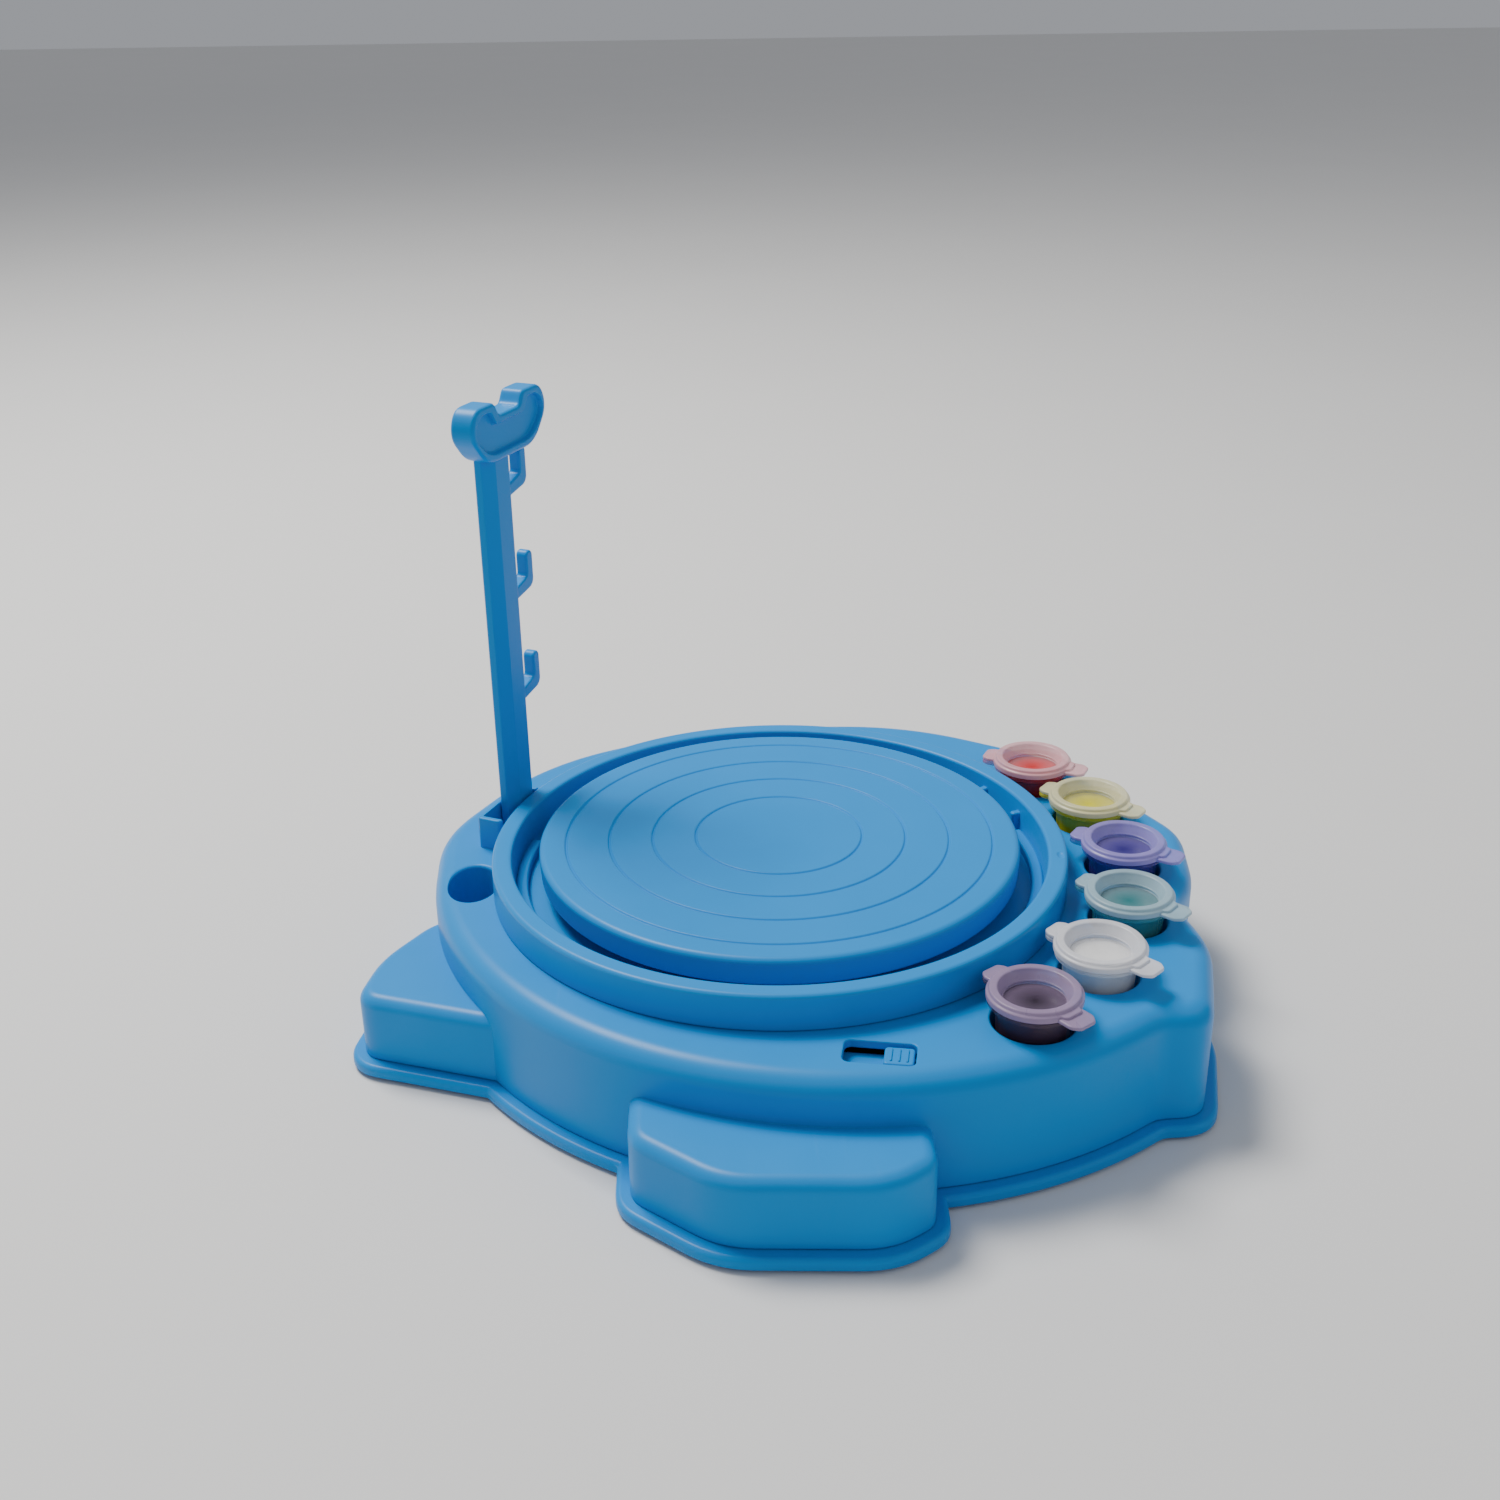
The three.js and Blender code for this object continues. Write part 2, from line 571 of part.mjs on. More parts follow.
// ---- Turntable and basin ----
function turntable() {
  const { top, disc, r, rim, skirt, skirtDrop, hub, shroud } = TURNTABLE;
  const grooves = GROOVES.flatMap((inward) => [
    [r - inward + TURNTABLE.grooveWide / 2, top],
    [r - inward, top - TURNTABLE.grooveDeep],
    [r - inward - TURNTABLE.grooveWide / 2, top],
  ]);
  const under = top - disc;
  const profile = [
    [0, under],
    [shroud, under],
    [shroud, top - skirtDrop],
    [shroud + skirt, top - skirtDrop],
    [shroud + skirt, under],
    [r - skirt, under],
    [r - skirt, top - skirtDrop],
    [r - 0.5, top - skirtDrop],
    [r, top - 2 * rim],
    [r - 0.3 * rim, top - 0.3 * rim],
    [r - rim, top],
    ...grooves,
    [0, top],
  ];
  const ribs = Array.from({ length: TURNTABLE.ribs }, (_, i) => {
    const turn = (360 / TURNTABLE.ribs) * (i + 0.5);
    const from = shroud + skirt - 0.2;
    const to = r - skirt + 0.2;
    const [x, y] = polar((from + to) / 2, turn);
    return block(to - from, 1.6, under - 3.5, under + 0.2, { x, y, turn });
  });
  const boss = post(hub, top - TURNTABLE.hubDrop, under + 0.2);
  const bore = post(SPINDLE.r + GAP, 0, SPINDLE.top + GAP).subtract(
    block(4 * SPINDLE.r, 2, SPINDLE.top - SPINDLE.flatLong + 1, 60, { y: SPINDLE.flat + GAP + 1 }),
  );
  return union([turned(profile, 40), ...ribs, boss]).subtract(bore);
}

function basin() {
  const { outer, skin, top, floorTop, lip, collar, collarTop } = BASIN;
  const seat = BASE.deckTop + GAP;
  const underFloor = floorTop - 2;
  const profile = [
    [collar, underFloor],
    [basinInner + skin - 0.5, underFloor],
    [basinInner + skin, top - skin],
    [outer - skin, top - skin],
    [outer - skin, seat],
    [outer, seat],
    [outer, top - lip],
    [outer - 0.3 * lip, top - 0.3 * lip],
    [outer - lip, top],
    [basinInner + lip, top],
    [basinInner + 0.3 * lip, top - 0.3 * lip],
    [basinInner, top - lip],
    [basinInner - 1.2, floorTop],
    [collar + 1.8, floorTop],
    [collar + 1.8, collarTop],
    [collar, collarTop],
  ];
  const ledgeOuter = basinInner - 1.0;
  const { ledgeFrom, ledgeTo, ledgeWide, ledgeHigh } = BASIN;
  const ledge = raised(
    [
      ...arc(0, 0, ledgeOuter, ledgeFrom, ledgeTo, 20),
      ...arc(0, 0, ledgeOuter - ledgeWide, ledgeTo, ledgeFrom, 20),
    ],
    floorTop - 0.5,
    floorTop + ledgeHigh,
  );
  return turned(profile, 48).add(ledge);
}

// ---- Tool mast, in its own directions: x along the broad side, -y towards the wheel ----
function toolMast() {
  const half = MAST.wide / 2;
  const face = MAST.thick / 2;
  const section = [
    [-half, -face + MAST.bevelDeep],
    [-half + MAST.bevelWide, -face],
    [half - 0.6, -face],
    [half, -face + 0.6],
    [half, face - 0.6],
    [half - 0.6, face],
    [-half + 0.6, face],
    [-half, face - 0.6],
  ];
  const bar = raised(section, MAST.bottom, MAST.headBottom + 4);

  const lay = (outline, y0, y1) => {
    const shape = new THREE.Shape(outline.map(([x, z]) => new THREE.Vector2(x, z)));
    const flat = new THREE.ExtrudeGeometry(shape, { depth: y1 - y0, bevelEnabled: false });
    return solidOf(flat.rotateX(Math.PI / 2).translate(0, y1, 0));
  };
  const { hookReach: reach, hookRise: rise, hookTip: tip, hookThick: thick } = MAST;
  const hooks = MAST.hooks.map((z) =>
    lay(
      rounded([
        [half - 1, z],
        [half + reach, z + rise, 2.4],
        [half + reach, z + rise + tip + thick, 1.9],
        [half + reach - thick, z + rise + tip + thick, 1.9],
        [half + reach - thick, z + rise + thick, 1],
        [half - 1, z + thick],
      ]),
      -thick / 2,
      thick / 2,
    ),
  );

  const kidney = (shrink) => {
    const w = HEAD.wide / 2 - shrink;
    const z0 = MAST.headBottom + shrink;
    const z1 = MAST.headBottom + HEAD.high - shrink;
    const notch = HEAD.notch / 2 + shrink;
    const floor = z1 - HEAD.notchDeep;
    const c = HEAD.offset;
    return rounded([
      [c - w * 0.62, z0, 12],
      [c + w * 0.62, z0, 12],
      [c + w, z0 + (z1 - z0) * 0.55, 7],
      [c + w * 0.86, z1, 5.5],
      [c + notch + 1.5, z1, 2],
      [c + notch - 1, floor, 2],
      [c - notch + 1, floor, 2],
      [c - notch - 1.5, z1, 2],
      [c - w * 0.86, z1, 5.5],
      [c - w, z0 + (z1 - z0) * 0.55, 7],
    ]);
  };
  const front = -HEAD.thick / 2 - 0.5;
  const back = front + HEAD.thick;
  const head = lay(kidney(0), front, back).subtract(lay(kidney(HEAD.rim), front - 1, front + HEAD.recess));
  return union([bar, ...hooks, head]);
}

// ---- Paint pots, in their own directions: +x towards the thumb tab, z = 0 under the cup ----
function tab(from, to, wide, z0, z1) {
  const half = wide / 2;
  const corner = half * 0.55;
  const outline = rounded([[from, -half], [to, -half, corner], [to, half, corner], [from, half]], true, 30);
  return raised(outline, z0, z1);
}

function potCup() {
  const { foot, mouth, high, wall, flange, flangeThick } = POT;
  const cup = turned(
    [
      [0, 0],
      [foot, 0],
      [mouth, high - flangeThick],
      [flange, high - flangeThick],
      [flange, high],
      [mouth - wall, high],
      [foot - wall, wall],
      [0, wall],
    ],
    16,
  );
  const hinge = tab(-LID.hinge, -flange + 1, TAB.hingeWide, high - flangeThick, high);
  return cup.add(hinge);
}

function potPaint() {
  const { foot, mouth, high, wall, fill } = POT;
  const level = high * fill;
  const at = (z) => foot + ((mouth - foot) * z) / (high - POT.flangeThick) - wall - GAP;
  return turned([[0, wall + GAP], [at(wall), wall + GAP], [at(level), level], [0, level]], 12);
}

function potLid() {
  const { r, well, plug, plugDeep, high, skin, hinge, thumb } = LID;
  const z0 = POT.high + GAP;
  const under = z0 - plugDeep;
  const lid = turned(
    [
      [0, under],
      [plug, under],
      [plug, z0],
      [r, z0],
      [r, z0 + high - 0.8],
      [r - 0.8, z0 + high],
      [well + 0.8, z0 + high],
      [well, z0 + high - 0.8],
      [well - 0.5, under + skin],
      [0, under + skin],
    ],
    18,
  );
  return union([
    lid,
    tab(r - 1, thumb, TAB.thumbWide, z0, z0 + skin),
    tab(-hinge, -r + 1, TAB.hingeWide, z0, z0 + skin),
  ]);
}

// ---- Battery bay's contents, in the bay's own directions ----
function cell() {
  const { r, long, nub, nubHigh } = CELL;
  const profile = [
    [0, 0],
    [r - 0.5, 0],
    [r, 0.5],
    [r, long - 0.5],
    [r - 0.5, long],
    [nub, long],
    [nub, long + nubHigh],
    [0, long + nubHigh],
  ];
  return solidOf(turnedGeometry(profile, 12).translate(0, 0, -long / 2).rotateX(-Math.PI / 2));
}

const cellX = (i) => (i - (CELL.count - 1) / 2) * CELL.pitch;
const contactPlane = CELL.long / 2 + BAY.contactRoom - GAP - CONTACT.thick / 2;

// A contact strip across some of the cells at one end of the bay, with a spring cone at each negative end.
function contact(cells, end) {
  const from = cellX(cells[0]) - CONTACT.wide / 2;
  const to = cellX(cells.at(-1)) + CONTACT.wide / 2;
  const place = { x: (from + to) / 2, y: end * contactPlane };
  const strip = block(to - from, CONTACT.thick, -CONTACT.high / 2, CONTACT.high / 2, place);
  const reach = contactPlane - CELL.long / 2 - GAP;
  const springs = cells
    .filter((i) => (i % 2 === 0 ? -1 : 1) === end)
    .map((i) => {
      const cone = new THREE.CylinderGeometry(CONTACT.spring, 2, reach, 12);
      if (end < 0) cone.rotateX(Math.PI);
      return solidOf(cone.translate(cellX(i), end * (contactPlane - reach / 2), 0));
    });
  return union([strip, ...springs]);
}

// ---- Switch, in the slot's own directions ----
function switchSlider() {
  const { rest: x, plateTop, plate, travel } = SLIDER;
  const plateLong = SLOT.long + 2 * SLIDER.plateOver + travel;
  return union([
    block(plateLong, SLIDER.plateWide, plateTop - plate, plateTop, { x: travel / 2 }),
    block(SLIDER.long, SLIDER.wide, plateTop - 0.5, BASE.deckTop - SLIDER.drop, { x }),
    block(SWITCH.peg, SWITCH.peg, SWITCH.pegBottom, plateTop - 0.5, { x }),
  ]);
}

function switchBody() {
  const room = SLIDER.travel + SWITCH.peg + 2 * RUNNING;
  const x = SLIDER.rest - SLIDER.travel / 2;
  return block(SWITCH.long, SWITCH.wide, SWITCH.bottom, SWITCH.top, { x }).subtract(
    block(room, SWITCH.peg + 2 * RUNNING, SWITCH.pegBottom - GAP, SWITCH.top + 1, { x }),
  );
}

function screw(z, length, head, shank) {
  const across = [block(head * 1.3, 0.7, z - 1, z + 0.8), block(0.7, head * 1.3, z - 1, z + 0.8)];
  const whole = post(head, z, z + 1.6, { sides: 16 }).add(post(shank, z + 1.5, z + length, { sides: 10 }));
  return cut(whole, across);
}

function wire(points) {
  const path = new THREE.CatmullRomCurve3(points.map((p) => new THREE.Vector3(...p)));
  const section = new THREE.Shape(arc(0, 0, WIRE, 0, 300, 5).map(([x, y]) => new THREE.Vector2(x, y)));
  const steps = 5 * (points.length - 1);
  return solidOf(new THREE.ExtrudeGeometry(section, { steps, extrudePath: path, bevelEnabled: false }));
}

// ---- Assembly ----
add("base_housing", baseHousing(), housingPlastic);
add("base_tray", baseTray(), housingPlastic);
add("splash_basin", basin(), housingPlastic);

FEET.forEach(([x, y], i) => {
  const name = i === 0 ? "foot_centre" : `foot_${i}`;
  add(name, post(FOOT.r - 0.8, 0, FOOT.thick, { x, y, top: FOOT.r }), rubber);
});
COVER_SCREWS.forEach(([x, y], i) => {
  const { length, head, shank } = COVER_SCREW;
  add(`cover_screw_${i + 1}`, screw(2.2, length, head, shank), steel).position.set(x, y, 0);
});

const doorTop = BASE.trayBottom + BAY.door;
const tongueTop = BASE.trayBottom + DOOR_TONGUE.thick;
const door = cut(
  union([
    block(doorWide - 2 * GAP, doorLong - 2 * GAP, BASE.trayBottom, doorTop, { y: CELL.y }),
    block(DOOR_TONGUE.wide, DOOR_TONGUE.long, BASE.trayBottom, tongueTop, tongueAt),
  ]),
  [
    post(DOOR_TONGUE.head + GAP, 0, tongueTop - 1, { ...doorScrewAt, sides: 16 }),
    post(DOOR_TONGUE.shank + GAP, 0, tongueTop + 1, { ...doorScrewAt, sides: 10 }),
  ],
);
add("battery_door", door, housingPlastic);
add("battery_door_screw", screw(1.2, DOOR_TONGUE.screw, DOOR_TONGUE.head, DOOR_TONGUE.shank), steel)
  .position.set(0, doorScrewAt.y, 0);

const batteryBay = new THREE.Group();
batteryBay.position.set(0, CELL.y, CELL.bottom + CELL.r);
group.add(batteryBay);
for (let i = 0; i < CELL.count; i++) {
  const battery = add(`battery_${i + 1}`, cell(), blackPlastic, batteryBay);
  battery.position.x = cellX(i);
  battery.rotation.z = i % 2 === 0 ? 0 : Math.PI;
}
[[[0, 1], 1], [[2, 3], 1], [[1, 2], -1]].forEach(([cells, end], i) =>
  add(`contact_bridge_${i + 1}`, contact(cells, end), steel, batteryBay),
);
[[[0], -1], [[3], -1]].forEach(([cells, end], i) =>
  add(`contact_terminal_${i + 1}`, contact(cells, end), steel, batteryBay),
);

const wheel = new THREE.Group();
group.add(wheel);
add("turntable", turntable(), housingPlastic, wheel);
const spindleFlat = block(4 * SPINDLE.r, 2, SPINDLE.top - SPINDLE.flatLong, 60, { y: SPINDLE.flat + 1 });
add("spindle", post(SPINDLE.r, SPINDLE.bottom, SPINDLE.top).subtract(spindleFlat), steel, wheel);
add("spindle_gear", spindleGear(), whitePlastic, wheel);

const plateTop = PLATE.bottom + PLATE.thick;
add("gear_plate", gearPlate(), whitePlastic);
add("upper_bush", bush(plateTop + GAP + BUSH.flangeHigh - BUSH.high, true), brass);
add("lower_bush", bush(SPINDLE.bottom, false), brass);
add("idler_pin", post(IDLER.pin, BASE.trayBottom + BASE.trayFloor + GAP, plateTop, { sides: 16 }), steel)
  .position.set(...idlerPlace, 0);
add("idler_gear", idlerGear(), whitePlastic).position.set(...idlerPlace, 0);

const canTop = MOTOR.bottom + MOTOR.can;
add("motor_can", motorCan(MOTOR.bottom, canTop), steel);
add("motor_cap", motorCan(canTop + GAP, canTop + GAP + MOTOR.cap), whitePlastic);
add("motor_pinion", motorPinion(), brass).position.set(...motorPlace, 0);
add("motor_shaft", post(MOTOR.shaft, GEAR.bottom - 5, MOTOR.bottom - GAP, { sides: 12 }), steel)
  .position.set(...motorPlace, 0);

const switchUnit = new THREE.Group();
switchUnit.position.set(SLOT.x, SLOT.y, 0);
switchUnit.rotation.z = radians(SLOT.turn);
group.add(switchUnit);
add("switch_slider", switchSlider(), housingPlastic, switchUnit);
add("switch_body", switchBody(), blackPlastic, switchUnit);

const capTop = canTop + 2 * GAP + MOTOR.cap + WIRE;
const [motorX, motorY] = motorPlace;
const bayTop = bay.top + BAY.roof + GAP + WIRE;
add("wire_battery_motor", wire([
  [-20, -60, bayTop],
  [-28, -46, bayTop + 3],
  [-34, -16, 29],
  [-30, 20, 30],
  [-20, 44, capTop],
  [motorX - 5, motorY, capTop],
]), finish(0xb5221d, 0.5));
add("wire_switch_motor", wire([
  [22, -91, 29],
  [34, -70, 29],
  [44, -30, 30],
  [40, 10, 31],
  [24, 44, capTop],
  [motorX + 5, motorY, capTop],
]), finish(0x222224, 0.5));
add("wire_battery_switch", wire([
  [14, -66, bayTop],
  [12, -78, bayTop + 2],
  [14, -86, bayTop + 5],
  [18, -91.5, 28],
]), finish(0xb5221d, 0.5));

const mast = add("tool_mast", toolMast(), housingPlastic);
const [mastX, mastY] = mastPoint(MAST.along, MAST.distance);
mast.position.set(mastX, mastY, 0);
mast.rotation.z = radians(MAST.turn);

for (const { name, yaw, colour, x, y } of wells) {
  const pot = new THREE.Group();
  pot.position.set(x, y, wellFloor + GAP);
  pot.rotation.z = radians(yaw);
  group.add(pot);
  add(`pot_${name}`, potCup(), clearPlastic, pot);
  add(`paint_${name}`, potPaint(), finish(colour, 0.35), pot);
  add(`lid_${name}`, potLid(), clearPlastic, pot);
}

export default group;
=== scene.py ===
"""The looks of a child's battery pottery wheel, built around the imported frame.

Sizes are in millimetres until a mesh is made, and in metres, the frame's unit, from there on.
"""
import json
import logging
import math
from dataclasses import dataclass
from enum import Enum
from typing import Any, Iterable, Sequence

import bmesh
import bpy
import numpy as np
from mathutils import Matrix, Vector


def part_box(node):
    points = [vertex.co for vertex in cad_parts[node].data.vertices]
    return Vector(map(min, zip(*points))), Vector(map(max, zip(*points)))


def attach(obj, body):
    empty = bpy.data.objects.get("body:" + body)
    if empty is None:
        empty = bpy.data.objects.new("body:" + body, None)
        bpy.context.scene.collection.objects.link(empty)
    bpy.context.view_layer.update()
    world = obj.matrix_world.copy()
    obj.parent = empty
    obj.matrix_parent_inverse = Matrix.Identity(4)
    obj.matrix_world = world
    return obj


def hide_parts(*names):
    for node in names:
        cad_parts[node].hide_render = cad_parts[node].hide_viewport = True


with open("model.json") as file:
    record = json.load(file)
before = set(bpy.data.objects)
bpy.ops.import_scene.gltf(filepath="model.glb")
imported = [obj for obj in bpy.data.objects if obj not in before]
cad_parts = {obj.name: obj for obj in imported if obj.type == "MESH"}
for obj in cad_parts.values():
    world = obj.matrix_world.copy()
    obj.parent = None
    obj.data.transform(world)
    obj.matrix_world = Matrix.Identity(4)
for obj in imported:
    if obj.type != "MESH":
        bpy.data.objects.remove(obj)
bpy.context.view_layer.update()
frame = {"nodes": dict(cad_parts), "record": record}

MM = 0.001
MOST_OF_SIDE = 0.48  # how much of a side one corner's arc may take
log = logging.getLogger("pottery_wheel")

Object = bpy.types.Object
Material = bpy.types.Material
Socket = bpy.types.NodeSocket
Colour = tuple[float, float, float]
Corner = tuple[float, ...]
Level = tuple[float, float]


class Join(Enum):
    """How one solid is combined with another."""

    ADD = "UNION"
    CUT = "DIFFERENCE"
    KEEP = "INTERSECT"


# ---- Outlines and profiles ----


def polar(radius: float, degrees: float) -> np.ndarray:
    """The point at a radius and an angle from +X: (r cos a, r sin a)."""
    angle = math.radians(degrees)
    return np.array([radius * math.cos(angle), radius * math.sin(angle)])


def arc(centre: Sequence[float], radius: float, start: float, stop: float, steps: int) -> np.ndarray:
    """Points evenly spaced in angle on a circle.

    Args:
        centre: the circle's centre.
        radius: its radius.
        start: the first point's angle in degrees.
        stop: the last point's angle in degrees.
        steps: how many chords the arc has.

    Returns:
        An array of steps + 1 points, centre + r (cos a, sin a).
    """
    angles = np.radians(np.linspace(start, stop, steps + 1))
    return np.asarray(centre) + radius * np.stack([np.cos(angles), np.sin(angles)], 1)


def circle(centre: Sequence[float], radius: float, sides: int = 96) -> np.ndarray:
    """A closed circle as an outline, without its repeated last point."""
    return arc(centre, radius, 0.0, 360.0, sides)[:-1]


def rounded(corners: Iterable[Corner], step: float = 9.0) -> np.ndarray:
    """A closed outline whose corners are arcs that touch both of their sides.

    Each corner is (x, y) or (x, y, radius). The arc's centre lies on the corner's bisector at
    radius / sin(half the corner's angle), and the radius shrinks where a side is too short for it.

    Args:
        corners: the corners in order.
        step: the largest turn in degrees from one point of an arc to the next.

    Returns:
        The outline's points.
    """
    corners = [tuple(corner) for corner in corners]
    pieces = []
    for index, corner in enumerate(corners):
        at = np.array(corner[:2], float)
        radius = corner[2] if len(corner) > 2 else 0.0
        if radius <= 0:
            pieces.append(at[None])
            continue
        before = np.array(corners[index - 1][:2], float) - at
        after = np.array(corners[(index + 1) % len(corners)][:2], float) - at
        room = MOST_OF_SIDE * min(np.linalg.norm(before), np.linalg.norm(after))
        before /= np.linalg.norm(before)
        after /= np.linalg.norm(after)
        half = math.acos(float(np.clip(before @ after, -1, 1))) / 2
        reach = min(radius / math.tan(half), room)
        radius = reach * math.tan(half)
        bisector = (before + after) / np.linalg.norm(before + after)
        centre = at + bisector * radius / math.sin(half)
        first = at + before * reach - centre
        sweep = math.pi - 2 * half
        side = np.sign(before[0] * after[1] - before[1] * after[0])
        turns = np.linspace(0, -side * sweep, max(3, math.ceil(math.degrees(sweep) / step)) + 1)
        turned = [first[0] * np.cos(turns) - first[1] * np.sin(turns),
                  first[0] * np.sin(turns) + first[1] * np.cos(turns)]
        pieces.append(centre + np.stack(turned, 1))
    return np.concatenate(pieces)


def box(x: Level, y: Level, radius: float = 0.0, step: float = 15.0) -> np.ndarray:
    """A rectangle between two x and two y, with rounded corners."""
    corners = ((x[0], y[0]), (x[1], y[0]), (x[1], y[1]), (x[0], y[1]))
    return rounded([(*corner, radius) for corner in corners], step)


def softened(outline: np.ndarray, spacing: float = 1.3, spread: float = 2.0) -> np.ndarray:
    """A closed outline resampled evenly along its length and eased by a Gaussian.

    Args:
        outline: the points of the outline.
        spacing: the distance between two points of the result.
        spread: the Gaussian's standard deviation along the outline.

    Returns:
        The eased outline: the circular convolution of the evenly spaced points with the Gaussian.
    """
    ring = np.vstack([outline, outline[:1]])
    along = np.concatenate([[0], np.cumsum(np.linalg.norm(np.diff(ring, axis=0), axis=1))])
    count = int(along[-1] / spacing)
    at = np.arange(count) * along[-1] / count
    even = np.stack([np.interp(at, along, ring[:, axis]) for axis in (0, 1)], 1)
    away = np.minimum(np.arange(count), count - np.arange(count)) * along[-1] / count
    kernel = np.exp(-0.5 * (away / spread) ** 2)
    blurred = np.fft.ifft(np.fft.fft(even, axis=0) * np.fft.fft(kernel / kernel.sum())[:, None], axis=0)
    return blurred.real


def inset(outline: np.ndarray, distance: float) -> np.ndarray:
    """The outline moved inwards: each point goes along its bisector, by distance / cos(half turn)."""
    before = outline - np.roll(outline, 1, 0)
    after = np.roll(outline, -1, 0) - outline
    normals = [np.stack([-side[:, 1], side[:, 0]], 1) / np.linalg.norm(side, axis=1)[:, None]
               for side in (before, after)]
    share = np.maximum(1 + (normals[0] * normals[1]).sum(1), 0.3)
    return outline + (normals[0] + normals[1]) * (distance / share)[:, None]


def turned_and_moved(outline: np.ndarray, turn: float, to: Sequence[float]) -> np.ndarray:
    """The outline turned about the origin by an angle in degrees and then moved."""
    c, s = math.cos(math.radians(turn)), math.sin(math.radians(turn))
    return outline @ np.array([[c, s], [-s, c]]) + np.asarray(to)


# ---- Surfaces ----


@dataclass(frozen=True)
class Surface:
    """A closed surface in millimetres.

    Attributes:
        points: an n by 3 array.
        faces: each face as indices into the points.
    """

    points: np.ndarray
    faces: list[list[int]]

    def moved(self, to: Sequence[float], turn: float = 0.0) -> "Surface":
        """The surface turned about +Z by an angle in degrees and then moved."""
        flat = turned_and_moved(self.points[:, :2], turn, to[:2])
        return Surface(np.column_stack([flat, self.points[:, 2] + to[2]]), self.faces)

    def laid(self) -> "Surface":
        """The surface tipped so that its outline stands upright: (x, y, z) goes to (x, z, y)."""
        return Surface(self.points[:, [0, 2, 1]], self.faces)


def grid_faces(rows: int, columns: int) -> list[list[int]]:
    """Quads between the rows of a grid whose columns close on themselves."""
    row, column = np.meshgrid(np.arange(rows - 1), np.arange(columns), indexing="ij")
    following = (column + 1) % columns
    quads = np.stack([row * columns + column, row * columns + following,
                      (row + 1) * columns + following, (row + 1) * columns + column], -1)
    return quads.reshape(-1, 4).tolist()


def stacked(outline: np.ndarray, levels: Sequence[Level]) -> Surface:
    """A solid whose outline changes from level to level.

    Args:
        outline: the plan.
        levels: (height, inset) pairs from the bottom up.

    Returns:
        The surface over (level, place on the outline): x and y from the inset outline, z the height.
    """
    rings = np.stack([np.column_stack([inset(outline, d), np.full(len(outline), z)]) for z, d in levels])
    count = len(outline)
    caps = [list(range(count))[::-1], list(range((len(levels) - 1) * count, len(levels) * count))]
    return Surface(rings.reshape(-1, 3), grid_faces(len(levels), count) + caps)


def quarter(height: float, radius: float, start: float = 0.0, steps: int = 7, up: bool = True) -> list[Level]:
    """Levels of a rounded edge that ends at a height: the inset grows as radius (1 - cos a)."""
    angles = np.linspace(0, math.pi / 2, steps + 1)
    sign = 1 if up else -1
    levels = [(height - sign * radius * (1 - math.sin(a)), start + radius * (1 - math.cos(a)))
              for a in angles]
    return levels if up else levels[::-1]


def slab(low: float, high: float, top: float = 0.0, bottom: float = 0.0, start: float = 0.0) -> list[Level]:
    """Levels of a plate with rounded edges.

    Args:
        low: the height of the underside.
        high: the height of the top.
        top: the radius of the top edge.
        bottom: the radius of the bottom edge.
        start: the inset of the upright wall.

    Returns:
        (height, inset) pairs from the bottom up.
    """
    under = quarter(low, bottom, start, up=False) if bottom else [(low, start)]
    over = quarter(high, top, start) if top else [(high, start)]
    return under + over


def flared(low: float, high: float, flare: float) -> list[Level]:
    """Levels of a cutter that leaves a rounded edge where it comes out of a face at a height."""
    angles = np.linspace(0, math.pi / 2, 6)
    mouth = [(high - flare + flare * math.sin(a), -flare * (1 - math.cos(a))) for a in angles]
    return [(low, 0.0), *mouth, (high + 1.0, -flare)]


def lathe(profile: np.ndarray, sides: int = 160) -> Surface:
    """A profile of (radius, height) points turned about +Z: (r cos a, r sin a, z).

    Args:
        profile: the section's points, which close on themselves unless both ends lie on the axis.
        sides: how many steps the turn has.

    Returns:
        The turned surface.
    """
    angles = np.linspace(0, 2 * math.pi, sides, endpoint=False)
    on_axis = max(profile[0][0], profile[-1][0]) < 1e-9
    ring = profile if on_axis else np.vstack([profile, profile[:1]])
    points = np.stack([np.outer(ring[:, 0], np.cos(angles)), np.outer(ring[:, 0], np.sin(angles)),
                       np.repeat(ring[:, 1:], sides, 1)], -1)
    return Surface(points.reshape(-1, 3), grid_faces(len(ring), sides))


def ellipsoid(centre: Sequence[float], radii: Sequence[float], rows: int = 12, sides: int = 24) -> Surface:
    """An ellipsoid: the centre plus the radii times (sin u cos v, sin u sin v, cos u)."""
    u = np.linspace(0, math.pi, rows)[:, None]
    v = np.linspace(0, 2 * math.pi, sides, endpoint=False)[None]
    ball = np.stack([np.sin(u) * np.cos(v), np.sin(u) * np.sin(v), np.cos(u) + 0 * v], -1)
    return Surface((ball * np.asarray(radii) + np.asarray(centre)).reshape(-1, 3), grid_faces(rows, sides))


# ---- Objects ----


def clean(mesh: bpy.types.Mesh) -> None:
    """Closes seams and poles, and turns every face outwards."""
    shape = bmesh.new()
    shape.from_mesh(mesh)
    bmesh.ops.remove_doubles(shape, verts=shape.verts, dist=1e-7)
    bmesh.ops.recalc_face_normals(shape, faces=shape.faces)
    shape.to_mesh(mesh)
    shape.free()


def placed(name: str, data: bpy.types.ID) -> Object:
    """An object at the origin that shows a mesh, a camera or a light."""
    made = bpy.data.objects.new(name, data)
    bpy.context.scene.collection.objects.link(made)
    return made


def as_object(name: str, surface: Surface) -> Object:
    """A mesh object in metres, with its place in its mesh."""
    mesh = bpy.data.meshes.new(name)
    mesh.from_pydata((surface.points * MM).tolist(), [], surface.faces)
    clean(mesh)
    return placed(name, mesh)


